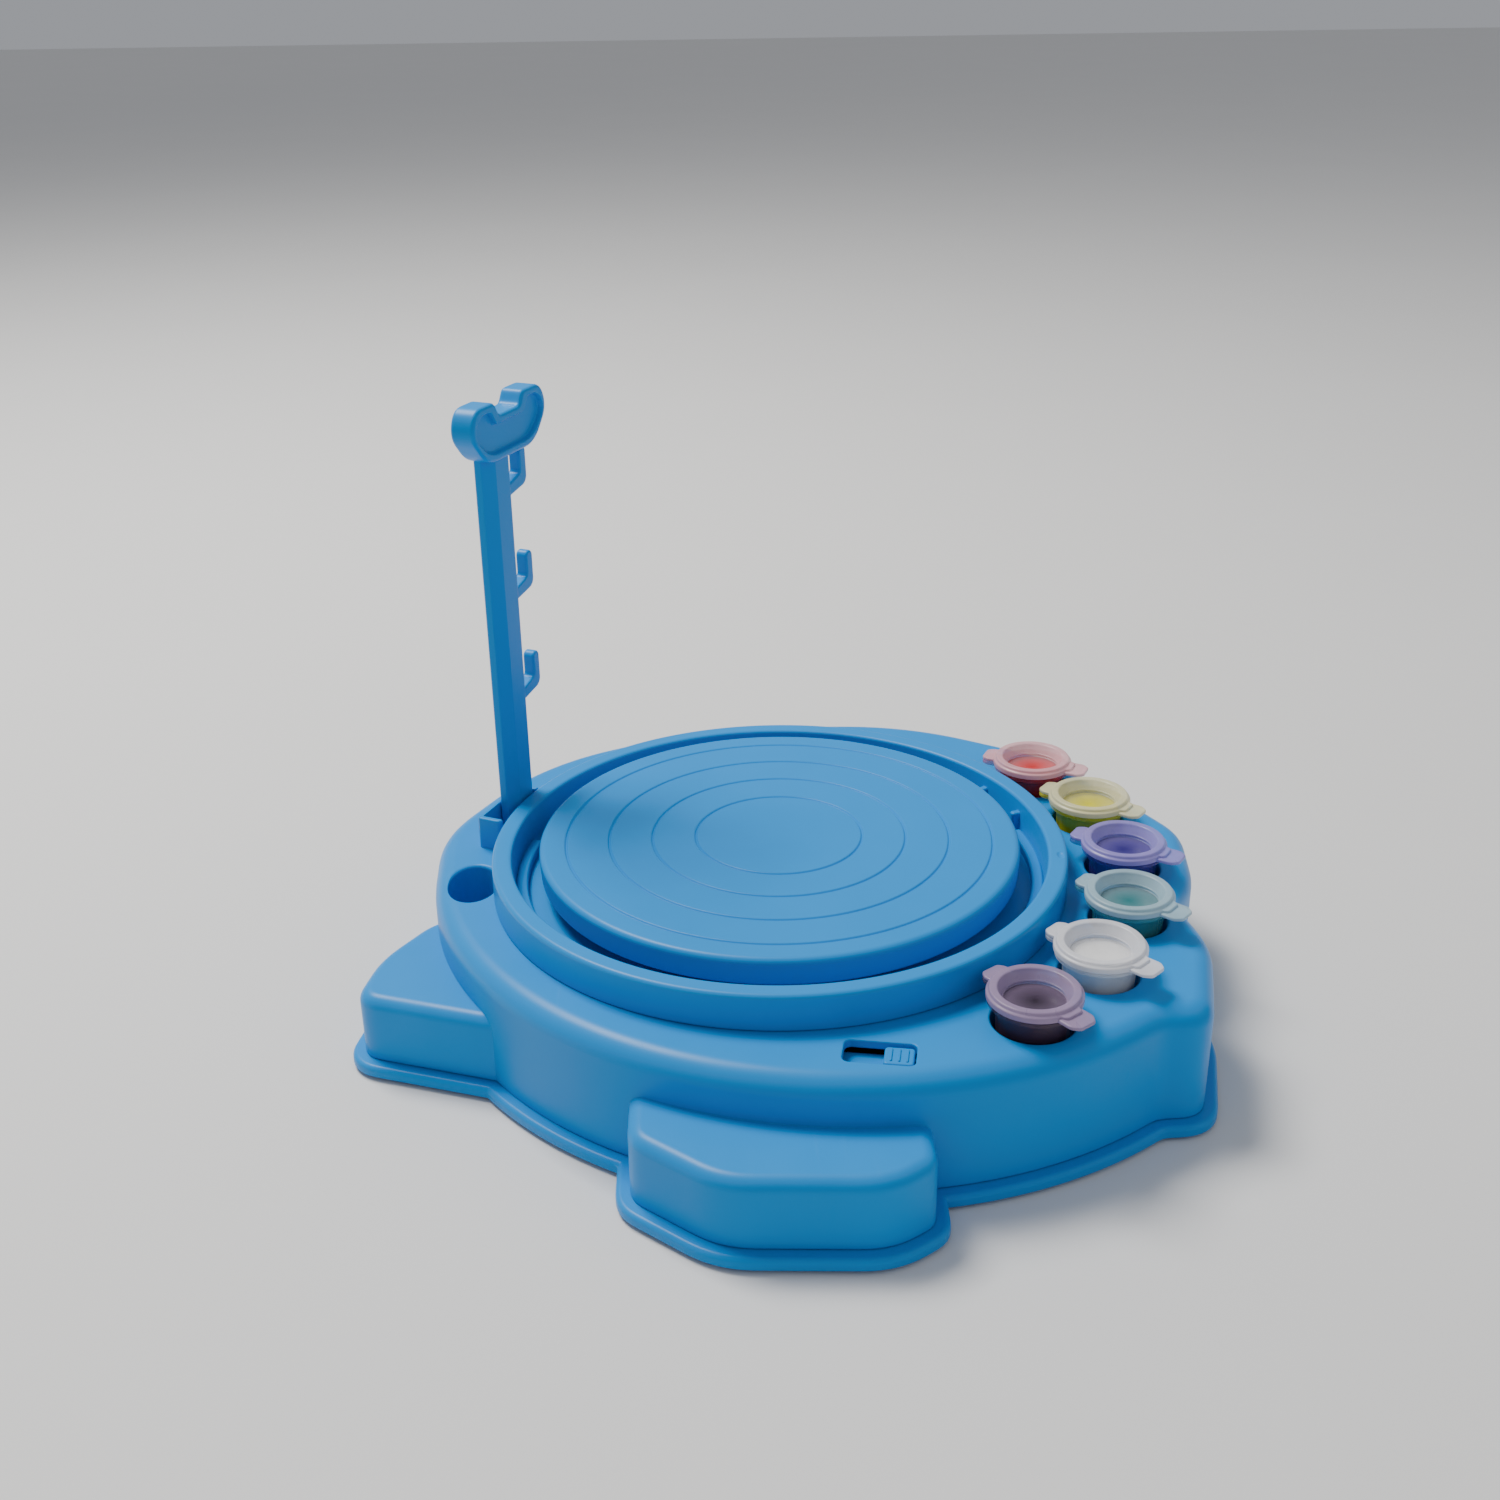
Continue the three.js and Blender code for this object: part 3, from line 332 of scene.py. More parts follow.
def copy_of(node: str, name: str) -> Object:
    """A closed copy of a CAD node's solid."""
    mesh = frame["nodes"][node].data.copy()
    mesh.materials.clear()
    clean(mesh)
    return placed(name, mesh)


def combine(base: Object, steps: Iterable[tuple[Join, Surface | Object]]) -> Object:
    """Joins solids to an object, or cuts them from it, in order.

    Args:
        base: the object that changes.
        steps: each solid with how it is combined. Objects among them are used up.

    Returns:
        The base object, whose mesh is the result.
    """
    tools = []
    for join, solid in steps:
        tool = solid if isinstance(solid, Object) else as_object("tool", solid)
        tools.append(tool)
        step = base.modifiers.new("join", "BOOLEAN")
        step.operation = join.value
        step.solver = "MANIFOLD"
        step.object = tool
    bpy.context.view_layer.update()
    graph = bpy.context.evaluated_depsgraph_get()
    result = bpy.data.meshes.new_from_object(base.evaluated_get(graph))
    if not result.polygons:
        raise ValueError(f"{base.name} came out empty")
    base.modifiers.clear()
    base.data = result
    for tool in tools:
        bpy.data.objects.remove(tool)
    return base


def smooth(piece: Object, angle: float = 34.0) -> None:
    """Shades a piece smooth up to an edge angle in degrees, with flat faces kept flat."""
    piece.data.shade_smooth()
    piece.data.set_sharp_from_angle(angle=math.radians(angle))
    weighted = piece.modifiers.new("weighted_normals", "WEIGHTED_NORMAL")
    weighted.keep_sharp = True


def finish_piece(
    piece: Object, material: Material, body: str, slot: str, nodes: Sequence[str]
) -> Object:
    """Dresses a piece and ties it to the frame.

    Args:
        piece: the finished shape.
        material: what it is made of.
        body: the CAD body that it moves with.
        slot: the record's material slot; not used.
        nodes: the CAD nodes that it stands for.

    Returns:
        The piece.
    """
    piece.data.materials.clear()
    piece.data.materials.append(material)
    smooth(piece)
    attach(piece, body)
    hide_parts(*nodes)
    log.info("%s: %d faces on %s", piece.name, len(piece.data.polygons), body)
    return piece


# ---- Materials ----


class Value:
    """A number on a shader socket, with Python's arithmetic on it."""

    def __init__(self, shade: "Shade", socket: Socket) -> None:
        """Wraps a socket of a material's tree."""
        self.shade = shade
        self.socket = socket

    def maths(self, operation: str, *values: "Value | float") -> "Value":
        """A Math node of an operation over the values in order."""
        return self.shade.value("ShaderNodeMath", {"operation": operation}, dict(enumerate(values)))

    def __add__(self, other: "Value | float") -> "Value":
        """Sum."""
        return self.maths("ADD", self, other)

    def __radd__(self, other: float) -> "Value":
        """Sum with a number on the left."""
        return self.maths("ADD", other, self)

    def __sub__(self, other: "Value | float") -> "Value":
        """Difference."""
        return self.maths("SUBTRACT", self, other)

    def __rsub__(self, other: float) -> "Value":
        """Difference from a number."""
        return self.maths("SUBTRACT", other, self)

    def __mul__(self, other: "Value | float") -> "Value":
        """Product."""
        return self.maths("MULTIPLY", self, other)

    def __rmul__(self, other: float) -> "Value":
        """Product with a number on the left."""
        return self.maths("MULTIPLY", other, self)

    def above(self, low: float, high: float) -> "Value":
        """Zero below low, one above high, and even in between."""
        settings = {"interpolation_type": "SMOOTHSTEP"}
        inputs = {"Value": self, "From Min": low, "From Max": high}
        return self.shade.value("ShaderNodeMapRange", settings, inputs)


class Shade:
    """One material's node tree around a Principled shader."""

    def __init__(self, name: str) -> None:
        """Starts a material with an empty tree, its shader and its output."""
        self.material = bpy.data.materials.new(name)
        self.material.use_nodes = True
        self.tree = self.material.node_tree
        self.tree.nodes.clear()
        self.surface = self.node("ShaderNodeBsdfPrincipled")
        self.node("ShaderNodeOutputMaterial", {}, {"Surface": self.surface.outputs[0]})
        self.place = self.node("ShaderNodeTexCoord").outputs["Object"]

    def node(
        self, kind: str, settings: dict[str, Any] | None = None, inputs: dict[str | int, Any] | None = None
    ) -> bpy.types.Node:
        """Adds a node.

        Args:
            kind: the node's type.
            settings: its own properties.
            inputs: the values or links of its sockets, by name or index.

        Returns:
            The node.
        """
        made = self.tree.nodes.new(kind)
        for key, setting in (settings or {}).items():
            setattr(made, key, setting)
        for key, given in (inputs or {}).items():
            self.feed(made.inputs[key], given)
        return made

    def feed(self, socket: Socket, given: Any) -> None:
        """Links a socket, or sets its value."""
        if isinstance(given, Value):
            given = given.socket
        if isinstance(given, Socket):
            self.tree.links.new(given, socket)
        elif socket.type == "RGBA" and len(given) == 3:
            socket.default_value = (*given, 1.0)
        else:
            socket.default_value = given

    def value(
        self, kind: str, settings: dict[str, Any] | None = None, inputs: dict[str | int, Any] | None = None,
        output: str | int = 0,
    ) -> Value:
        """Adds a node and wraps one of its outputs."""
        return Value(self, self.node(kind, settings, inputs).outputs[output])

    def noise(self, scale: float, detail: float = 2.0, stretch: Corner = (1.0, 1.0, 1.0)) -> Value:
        """Noise over the object, in features per metre, stretched by a factor along each axis."""
        place = self.node("ShaderNodeMapping", {}, {"Vector": self.place, "Scale": stretch}).outputs[0]
        return self.value("ShaderNodeTexNoise", {}, {"Vector": place, "Scale": scale, "Detail": detail})

    def between(self, amount: Value | float, low: Any, high: Any) -> Socket:
        """A colour mixed from low to high by an amount."""
        settings = {"data_type": "RGBA", "clamp_factor": True}
        return self.node("ShaderNodeMix", settings, {0: amount, 6: low, 7: high}).outputs[2]

    def rounded_normal(self, radius: float) -> Socket:
        """The normal as it is where hard edges are eased by a radius in millimetres."""
        return self.node("ShaderNodeBevel", {"samples": 4}, {"Radius": radius * MM}).outputs[0]

    def edges(self, normal: Socket) -> Value:
        """How far the eased normal leans from the true one: one on an edge, zero on a face."""
        flat = self.node("ShaderNodeNewGeometry").outputs["Normal"]
        dot = {"operation": "DOT_PRODUCT"}
        match = self.value("ShaderNodeVectorMath", dot, {0: normal, 1: flat}, "Value")
        return (1.0 - match).above(0.01, 0.25)

    def bump(self, height: Value, depth: float, strength: float, normal: Any = None) -> Socket:
        """A normal bumped by a height of a depth in millimetres."""
        inputs = {"Height": height, "Distance": depth * MM, "Strength": strength}
        if normal is not None:
            inputs["Normal"] = normal
        return self.node("ShaderNodeBump", {}, inputs).outputs[0]

    def dress(self, **sockets: Any) -> Material:
        """Feeds the shader's sockets, named in lower case with underscores, and gives the material."""
        for key, given in sockets.items():
            self.feed(self.surface.inputs[key.replace("_", " ").title().replace("Ior", "IOR")], given)
        return self.material


def scaled(colour: Colour, factor: float) -> Colour:
    """A colour made lighter or darker."""
    return tuple(min(1.0, part * factor) for part in colour)


@dataclass(frozen=True)
class Finish:
    """What every material is made from: its name and its main colour."""

    name: str
    colour: Colour


@dataclass(frozen=True)
class MouldedPlastic(Finish):
    """Injection-moulded plastic: faint flow clouds, a fine mould grain, light scuffs, and edges painted
    lighter, partly as wear and partly as a painted highlight.

    Attributes:
        roughness: how matt its faces are.
        edge: how much lighter an edge is painted, partly wear and partly a painted highlight.
        grain: the depth of the mould's grain in millimetres.
        easing: the radius of its hard edges in millimetres.
        shine: how strongly it reflects.
    """

    roughness: float = 0.34
    edge: float = 1.25
    grain: float = 0.012
    easing: float = 0.45
    shine: float = 0.24

    def make(self) -> Material:
        """Builds the material."""
        shade = Shade(self.name)
        clouds = shade.noise(14.0, 3.0)
        flow = shade.noise(55.0, 2.0, (1.0, 1.0, 0.35))
        grain = shade.noise(2600.0, 2.0)
        unevenness = shade.noise(70.0, 1.0)
        streaks = shade.noise(420.0, 1.0, (1.0, 0.05, 0.4))
        scuffs = streaks.above(0.66, 0.78) * clouds.above(0.4, 0.65)
        eased = shade.rounded_normal(self.easing)
        edges = shade.edges(eased)
        tint = shade.between(clouds * 0.6 + flow * 0.4, scaled(self.colour, 0.93), scaled(self.colour, 1.07))
        # edges painted lighter than the faces: partly wear, partly a painted highlight along them
        wear_and_edge_highlight = shade.between(edges * 0.45, tint, scaled(self.colour, self.edge))
        roughness = self.roughness + (flow - 0.5) * 0.10 + scuffs * 0.12 + grain * 0.04
        wave = shade.bump(unevenness, 0.05, 0.25, eased)
        normal = shade.bump(grain + scuffs * 0.5, self.grain, 0.5, wave)
        return shade.dress(base_color=wear_and_edge_highlight, roughness=roughness, normal=normal, ior=1.5,
                           specular_ior_level=self.shine)


@dataclass(frozen=True)
class FrostedPlastic(Finish):
    """Thin translucent plastic: milky, with flow lines from its gate and a soft grain.

    Attributes:
        solidity: how much of what lies behind a wall it hides.
        window: how much it hides where the piece's "clear" attribute is one.
        roughness: how matt its faces are.
    """

    solidity: float
    window: float = 0.02
    roughness: float = 0.3

    def make(self) -> Material:
        """Builds the material."""
        shade = Shade(self.name)
        clouds = shade.noise(120.0, 3.0)
        flow = shade.noise(260.0, 2.0, (1.0, 0.3, 1.0))
        grain = shade.noise(3200.0, 2.0)
        eased = shade.rounded_normal(0.3)
        edges = shade.edges(eased)
        colour = shade.between(clouds, scaled(self.colour, 0.9), scaled(self.colour, 1.08))
        clear = shade.value("ShaderNodeAttribute", {"attribute_name": "clear"}, {}, "Fac")
        frost = self.solidity + (clouds - 0.5) * 0.12 + edges * 0.25
        alpha = frost * (1.0 - clear) + clear * self.window
        roughness = self.roughness + (flow - 0.5) * 0.16
        normal = shade.bump(flow * 0.7 + grain * 0.3, 0.03, 0.35, eased)
        return shade.dress(base_color=colour, alpha=alpha, roughness=roughness, normal=normal, ior=1.49)


class WetPaint(Finish):
    """Wet acrylic paint: streaked by stirring, with a glossy skin and a few small bubbles."""

    def make(self) -> Material:
        """Builds the material."""
        shade = Shade(self.name)
        swirl = shade.noise(160.0, 3.0, (1.0, 0.45, 1.0))
        bubbles = shade.value("ShaderNodeTexVoronoi", {}, {"Vector": shade.place, "Scale": 900.0}, "Distance")
        dots = 1.0 - bubbles.above(0.08, 0.2)
        colour = shade.between(swirl, scaled(self.colour, 0.72), scaled(self.colour, 1.2))
        roughness = 0.16 + swirl * 0.14
        normal = shade.bump(swirl + dots * 0.25, 0.25, 0.45)
        return shade.dress(base_color=colour, roughness=roughness, normal=normal, ior=1.45,
                           specular_ior_level=0.3, coat_weight=0.12, coat_roughness=0.08)


class Metal(Finish):
    """Turned or drawn metal with fine lines round its axis and a dull film in places."""

    def make(self) -> Material:
        """Builds the material."""
        shade = Shade(self.name)
        lines = shade.noise(500.0, 2.0, (1.0, 1.0, 12.0))
        film = shade.noise(90.0, 3.0)
        eased = shade.rounded_normal(0.15)
        colour = shade.between(film.above(0.35, 0.75), self.colour, scaled(self.colour, 0.78))
        roughness = 0.3 + (lines - 0.5) * 0.22 + film.above(0.5, 0.8) * 0.12
        normal = shade.bump(lines, 0.02, 0.35, eased)
        return shade.dress(base_color=colour, metallic=1.0, roughness=roughness, normal=normal)


class Rubber(Finish):
    """Soft rubber: matt, with a pitted skin and pale dust in its hollows."""

    dust: Colour = (0.11, 0.105, 0.1)

    def make(self) -> Material:
        """Builds the material."""
        shade = Shade(self.name)
        pits = shade.noise(1500.0, 3.0)
        dust = shade.noise(180.0, 4.0).above(0.5, 0.8)
        colour = shade.between(dust * 0.5, self.colour, self.dust)
        roughness = 0.72 + pits * 0.2
        normal = shade.bump(pits, 0.06, 0.6, shade.rounded_normal(0.4))
        return shade.dress(base_color=colour, roughness=roughness, normal=normal)


@dataclass(frozen=True)
class CellWrap(Finish):
    """A dry cell's sleeve: a dark film with a band of the main colour at one end.

    Attributes:
        start: where the band starts along Y, in millimetres.
        end: where it ends.
    """

    start: float
    end: float

    def make(self) -> Material:
        """Builds the material."""
        shade = Shade(self.name)
        along = shade.value("ShaderNodeSeparateXYZ", {}, {"Vector": shade.place}, "Y") * (1 / MM)
        blur = 0.2
        band = along.above(self.start, self.start + blur) * (1.0 - along.above(self.end, self.end + blur))
        film = shade.noise(300.0, 3.0)
        dark = shade.between(film, (0.012, 0.012, 0.014), (0.03, 0.03, 0.034))
        colour = shade.between(band, dark, self.colour)
        normal = shade.bump(film, 0.04, 0.3, shade.rounded_normal(0.3))
        roughness = 0.24 + film * 0.14
        return shade.dress(base_color=colour, metallic=band * 0.8, roughness=roughness, normal=normal)


class Floor(Finish):
    """A pale matt floor with the faintest mottling."""

    def make(self) -> Material:
        """Builds the material."""
        shade = Shade(self.name)
        mottle = shade.noise(6.0, 4.0)
        colour = shade.between(mottle, scaled(self.colour, 0.985), scaled(self.colour, 1.015))
        return shade.dress(base_color=colour, roughness=0.75 + mottle * 0.05)


BLUE: Colour = (0.003, 0.265, 0.68)


class Finishes:
    """The materials that several pieces share, each made once."""

    def __init__(self) -> None:
        """Makes them all."""
        # a plastic's fourth number is how much lighter its edges are painted: partly wear, partly a painted
        # highlight
        self.blue = MouldedPlastic("blue_plastic", BLUE).make()
        self.white = MouldedPlastic("gear_plastic", (0.74, 0.71, 0.63), 0.45, 1.1).make()
        self.black = MouldedPlastic("switch_plastic", (0.018, 0.018, 0.02), 0.42, 2.0).make()
        self.red_wire = MouldedPlastic("red_wire", (0.42, 0.018, 0.014), 0.4, 1.1).make()
        self.black_wire = MouldedPlastic("black_wire", (0.014, 0.014, 0.015), 0.4, 1.3).make()
        self.steel = Metal("plated_steel", (0.6, 0.6, 0.6)).make()
        self.brass = Metal("turned_brass", (0.68, 0.46, 0.17)).make()
        self.rubber = Rubber("black_rubber", (0.02, 0.02, 0.021)).make()
        self.door = MouldedPlastic("door_plastic", scaled(BLUE, 0.94), 0.4).make()


# ---- Camera, floor and light ----


@dataclass(frozen=True)
class Studio:
    """The camera, the lights and the floor.

    Attributes:
        azimuth: the camera's place round the wheel, in degrees from -Y.
        elevation: its height above the horizon in degrees.
        roll: its turn about its own axis in degrees.
        target: the point at the middle of its view, in millimetres.
        distance: how far it stands from the target.
        lens: its focal length on a 36 mm sensor.
    """

    azimuth: float = -0.87
    elevation: float = 24.85
    roll: float = -0.815
    target: Corner = (-7.3, 92.9, 40.0)
    distance: float = 637.5
    lens: float = 41.98

    def camera(self) -> None:
        """Places the camera, whose up and right are turned by the roll about its own axis."""
        a, e, r = (math.radians(v) for v in (self.azimuth, self.elevation, self.roll))
        back = Vector((math.sin(a) * math.cos(e), -math.cos(a) * math.cos(e), math.sin(e)))
        right = Vector((math.cos(a), math.sin(a), 0.0))
        up = back.cross(right)
        rolled_right = right * math.cos(r) + up * math.sin(r)
        rolled_up = up * math.cos(r) - right * math.sin(r)
        data = bpy.data.cameras.new("camera")
        data.lens, data.sensor_width, data.clip_end = self.lens, 36.0, 20.0
        camera = placed("camera", data)
        turn = Matrix((rolled_right, rolled_up, back)).transposed().to_4x4()
        camera.matrix_world = Matrix.Translation((Vector(self.target) + back * self.distance) * MM) @ turn
        bpy.context.scene.camera = camera

    def light(self, name: str, place: Corner, size: float, power: float, colour: Colour) -> None:
        """Adds a square area light that faces the wheel.

        Args:
            name: the light's name.
            place: where it stands, in metres.
            size: the length of its side in metres.
            power: its power in watts.
            colour: its colour.
        """
        data = bpy.data.lights.new(name, "AREA")
        data.shape = "SQUARE"
        data.size = size
        data.energy = power
        data.color = colour
        lamp = placed(name, data)
        lamp.location = place
        lamp.rotation_euler = Vector(place).to_track_quat("Z", "Y").to_euler()

    def floor(self) -> None:
        """Lays the floor just under the feet."""
        half, gap = 6000.0, 0.05
        square = box((-half, half), (-half, half))
        corners = np.column_stack([square, np.full(4, -gap)])
        floor = as_object("floor", Surface(corners, [[0, 1, 2, 3]]))
        floor.data.materials.append(Floor("pale_floor", (0.78, 0.77, 0.75)).make())

    def build(self) -> None:
        """Sets up the camera, the floor, the lights and the world."""
        self.camera()
        self.floor()
        warm, cool = (1.0, 0.99, 0.97), (0.82, 0.88, 1.0)
        self.light("key", (-0.60, 0.50, 1.40), 0.6, 30.0, warm)
        self.light("fill", (1.2, -0.5, 0.8), 1.0, 2.0, cool)
        self.light("front", (-0.5, -1.3, 0.7), 0.8, 0.8, cool)
        world = bpy.data.worlds.new("studio")
        world.use_nodes = True
        background = world.node_tree.nodes["Background"]
        background.inputs["Color"].default_value = (0.90, 0.93, 1.0, 1.0)
        background.inputs["Strength"].default_value = 0.38
        bpy.context.scene.world = world


# ---- The base ----

SOFTEN = 0.3  # how far the smooth outlines stay inside the frame's
BASE_PLASTIC = ("base", "blue_plastic")
SCREWS = ((66, -66), (64, 66), (-66, 66), (-56, -72))
FEET = ((0, 0), (-96, -34), (-2, -116), (108, -44), (84, 74), (-74, 70))
SLOT, SLOT_TURN = (23.0, -99.9), -9.8  # the switch's slot


@dataclass(frozen=True)
class BasePlan:
    """Plans and heights that the housing and the tray share."""

    deck: float = 40.4
    bottom: float = 4.9
    wall: float = 2.4
    fillet: float = 6.5
    lobe_top: float = 26.0
    lobe_fillet: float = 4.0
    arc_centre: Corner = (21.0, 18.0)
    arc_radius: float = 131.5
    arc_from: float = 186.0
    arc_to: float = 308.7

    def body(self) -> np.ndarray:
        """The main plan: a front arc, the wing of paint wells on the right and a wide round back."""
        front = arc(self.arc_centre, self.arc_radius, self.arc_from, self.arc_to, 60)
        back = [(117, -84.5, 9), (126.5, -46, 40), (122, -22.5, 12), (131, -6, 40), (134.5, 24, 22),
                (125, 43, 30), (99, 86, 40), (52, 116, 90), (-20, 118, 110), (-84, 88, 90), (-112, 34, 90)]
        return self.eased([*front, *back], 2.2)

    def left_lobe(self) -> np.ndarray:
        """The low lobe on the left."""
        corners = [(-80, 12), (-111, 0, 20), (-124.5, -22, 40), (-128.5, -44.5, 8), (-78, -61.5)]
        return self.eased(corners, 1.6)

    def front_lobe(self) -> np.ndarray:
        """The low lobe at the front, with the square step at its left."""
        corners = [(-44.5, -80), (-44.5, -114, 9), (-20, -134, 26),
                   (24, -136, 26), (36.5, -127, 5), (36.5, -90)]
        return self.eased(corners, 1.6)

    def eased(self, corners: Iterable[Corner], spread: float) -> np.ndarray:
        """A smooth outline just inside the corners' own."""
        return inset(softened(rounded(corners, 6.0), spread=spread), SOFTEN)

    def plans(self) -> list[np.ndarray]:
        """All three plans."""
        return [self.body(), self.left_lobe(), self.front_lobe()]

    def solids(self, low: float, shrink: float, drop: float) -> list[Surface]:
        """The three raised plans, made smaller all round by shrink and lower by drop."""
        deck = slab(low, self.deck - drop, top=self.fillet - shrink, start=shrink)
        lobe = slab(low, self.lobe_top - drop, top=self.lobe_fillet - 0.8 * shrink, start=shrink)
        return [stacked(plan, levels) for plan, levels in zip(self.plans(), (deck, lobe, lobe))]


@dataclass(frozen=True)
class MastPlace:
    """Where the tool mast stands: its bar's broad side is turned from +X, its middle away from the axis."""

    turn: float = 66.0
    distance: float = 93.0
    along: float = -1.85

    def at(self, t: float, d: float) -> np.ndarray:
        """The point t along the bar's broad side and d out from the axis."""
        return t * polar(1.0, self.turn) + d * polar(1.0, self.turn + 90.0)

    def origin(self) -> Corner:
        """The middle of the bar."""
        return (*self.at(self.along, self.distance), 0.0)

    def box(self, t: Level, d: Level, radius: float) -> np.ndarray:
        """A box in the mast's own directions, as an outline with rounded corners."""
        return np.array([self.at(*point) for point in box(t, d, radius)])


@dataclass(frozen=True)
class Wells:
    """The arc of wells that the paint pots drop into."""

    count: int = 6
    reach: float = 108.5
    first: float = -52.5
    step: float = 17.3
    radius: float = 11.7
    wall: float = 1.4
    floor: float = 23.9

    def centres(self) -> list[np.ndarray]:
        """The wells' middles, evenly spaced in angle on their circle."""
        return [polar(self.reach, self.first + self.step * index) for index in range(self.count)]


@dataclass(frozen=True)
class Housing:
    """The moulded upper shell: deck, lobes, paint wells, tool hole, mast socket and switch slot.

    Attributes:
        opening: the radius of the deck's opening under the splash ring.
        seat: the radius of the place that the splash ring stands in.
        boss: a screw boss's outer radius, its hole's radius and the height of its foot.
        socket: the mast socket's outside, along the bar's broad side and out from the axis.
        socket_hole: the hole that the bar stands in.
        channel: the slot above the deck that the bar's edge slides down.
    """

    plan: BasePlan = BasePlan()
    mast: MastPlace = MastPlace()
    wells: Wells = Wells()
    opening: float = 86.9
    seat: float = 89.8
    tool_hole: Corner = (-96.2, -3.0)
    tool_radii: Corner = (7.8, 11.5)
    slot_size: Corner = (19.5, 10.0)
    boss: Corner = (3.8, 1.25, 8.5)
    socket: tuple[Level, Level] = ((-20.35, 6.55), (88.6, 97.4))
    socket_hole: tuple[Level, Level] = ((-8.65, 4.95), (90.2, 95.8))
    channel: tuple[Level, Level] = ((-18.75, 4.95), (83.4, 95.8))
    socket_top: float = 51.3

    def tool_oval(self, grow: float) -> np.ndarray:
        """The tool hole's oval, larger by a distance: (x + a cos t, y + b sin t)."""
        radii = np.asarray(self.tool_radii) + grow
        return circle((0, 0), 1.0, 72) * radii + np.asarray(self.tool_hole)

    def slot_outline(self) -> np.ndarray:
        """The switch's slot."""
        long, wide = (size / 2 for size in self.slot_size)
        return turned_and_moved(box((-long, long), (-wide, wide), 2.0, 12.0), SLOT_TURN, SLOT)

    def additions(self) -> Iterable[Surface]:
        """What hangs under the deck or stands on it: bosses, wells, the tool tube and the socket."""
        under = self.plan.deck - self.plan.wall + 1.0
        outer, _, foot = self.boss
        wells = self.wells
        for boss in SCREWS:
            yield stacked(circle(boss, outer, 32), slab(foot, under, bottom=0.3))
        for centre in wells.centres():
            yield stacked(circle(centre, wells.radius + wells.wall), slab(wells.floor - wells.wall, under))
        yield stacked(self.tool_oval(1.5), slab(12.5, under))
        yield stacked(self.mast.box(*self.socket, 1.4), slab(11.4, self.socket_top, top=0.6))

    def cuts(self) -> Iterable[Surface]:
        """The openings through the deck, each with a rounded mouth."""
        deck, under = self.plan.deck, self.plan.deck - self.plan.wall
        over_deck = [(deck, 0.0), (self.socket_top + 1, 0.0)]
        yield stacked(circle((0, 0), self.opening, 192), [(under - 1, 0.0), (deck + 1, 0.0)])
        yield stacked(circle((0, 0), self.seat, 192), over_deck)
        for centre in self.wells.centres():
            yield stacked(circle(centre, self.wells.radius), flared(self.wells.floor, deck, 0.8))
        for boss in SCREWS:
            yield stacked(circle(boss, self.boss[1], 20), [(7.0, 0.0), (23.5, 0.0)])
        yield stacked(self.tool_oval(0.0), flared(14.0, deck, 1.2))
        yield stacked(self.slot_outline(), flared(under - 1, deck, 0.5))
        yield stacked(self.mast.box(*self.socket_hole, 0.4), flared(13.0, self.socket_top, 0.4))
        yield stacked(self.mast.box(*self.channel, 0.5), over_deck)

    def build(self, finishes: Finishes) -> None:
        """Joins the shell and dresses it."""
        outer = self.plan.solids(self.plan.bottom, 0.0, 0.0)
        inner = self.plan.solids(self.plan.bottom - 1.0, self.plan.wall, self.plan.wall)
        shell = combine(as_object("housing", outer[0]), [(Join.ADD, solid) for solid in outer[1:]])
        hollow = combine(as_object("hollow", inner[0]), [(Join.ADD, solid) for solid in inner[1:]])
        additions = [(Join.ADD, solid) for solid in self.additions()]
        cuts = [(Join.CUT, solid) for solid in self.cuts()]
        combine(shell, [(Join.CUT, hollow), *additions, *cuts])
        finish_piece(shell, finishes.blue, *BASE_PLASTIC, ["base_housing"])


@dataclass(frozen=True)
class Tray:
    """The flat tray under the housing: its flange, its lip and the battery bay, taken from the frame.

    Attributes:
        reach: how far the flange stands out from the housing.
        core: how far inside the plan the frame's own tray takes over.
        foot: the radius and the depth of the hollow round a foot.
        screw: the radius and the depth of the hole round a screw.
    """

    plan: BasePlan = BasePlan()
    reach: float = 4.0
    top: float = 4.6
    low: float = 1.0
    floor: float = 3.4
    lip: float = 8.5
    core: float = 6.0
    foot: Level = (7.3, 2.3)
    screw: Level = (3.2, 4.2)

    def joined(self, name: str, levels: Sequence[Level]) -> Object:
        """The three plans raised over the same levels and joined."""
        first, *others = [stacked(plan, levels) for plan in self.plan.plans()]
        return combine(as_object(name, first), [(Join.ADD, solid) for solid in others])

    def build(self, finishes: Finishes) -> None:
        """Puts a smooth rim round the middle of the frame's tray."""
        wall = self.plan.wall + 0.3
        core = self.joined("core", slab(0.0, self.plan.deck, start=self.core))
        middle = combine(copy_of("base_tray", "tray"), [(Join.KEEP, core)])
        rim = self.joined("rim", slab(self.low, self.top, top=1.6, bottom=0.5, start=-self.reach))
        combine(rim, [
            (Join.ADD, self.joined("lip", slab(self.low + 1, self.lip, top=0.3, start=wall))),
            (Join.CUT, self.joined("well", slab(self.floor, self.lip + 1, start=wall + 1.5))),
            (Join.CUT, self.joined("middle", slab(0.0, self.lip + 2, start=self.core))),
        ])
        holes = [(place, *self.foot, 64) for place in FEET] + [(place, *self.screw, 40) for place in SCREWS]
        cuts = [(Join.CUT, stacked(circle(place, radius, sides), [(0.0, 0.0), (depth, 0.0)]))
                for place, radius, depth, sides in holes]
        combine(middle, [(Join.ADD, rim), *cuts])
        finish_piece(middle, finishes.blue, *BASE_PLASTIC, ["base_tray"])


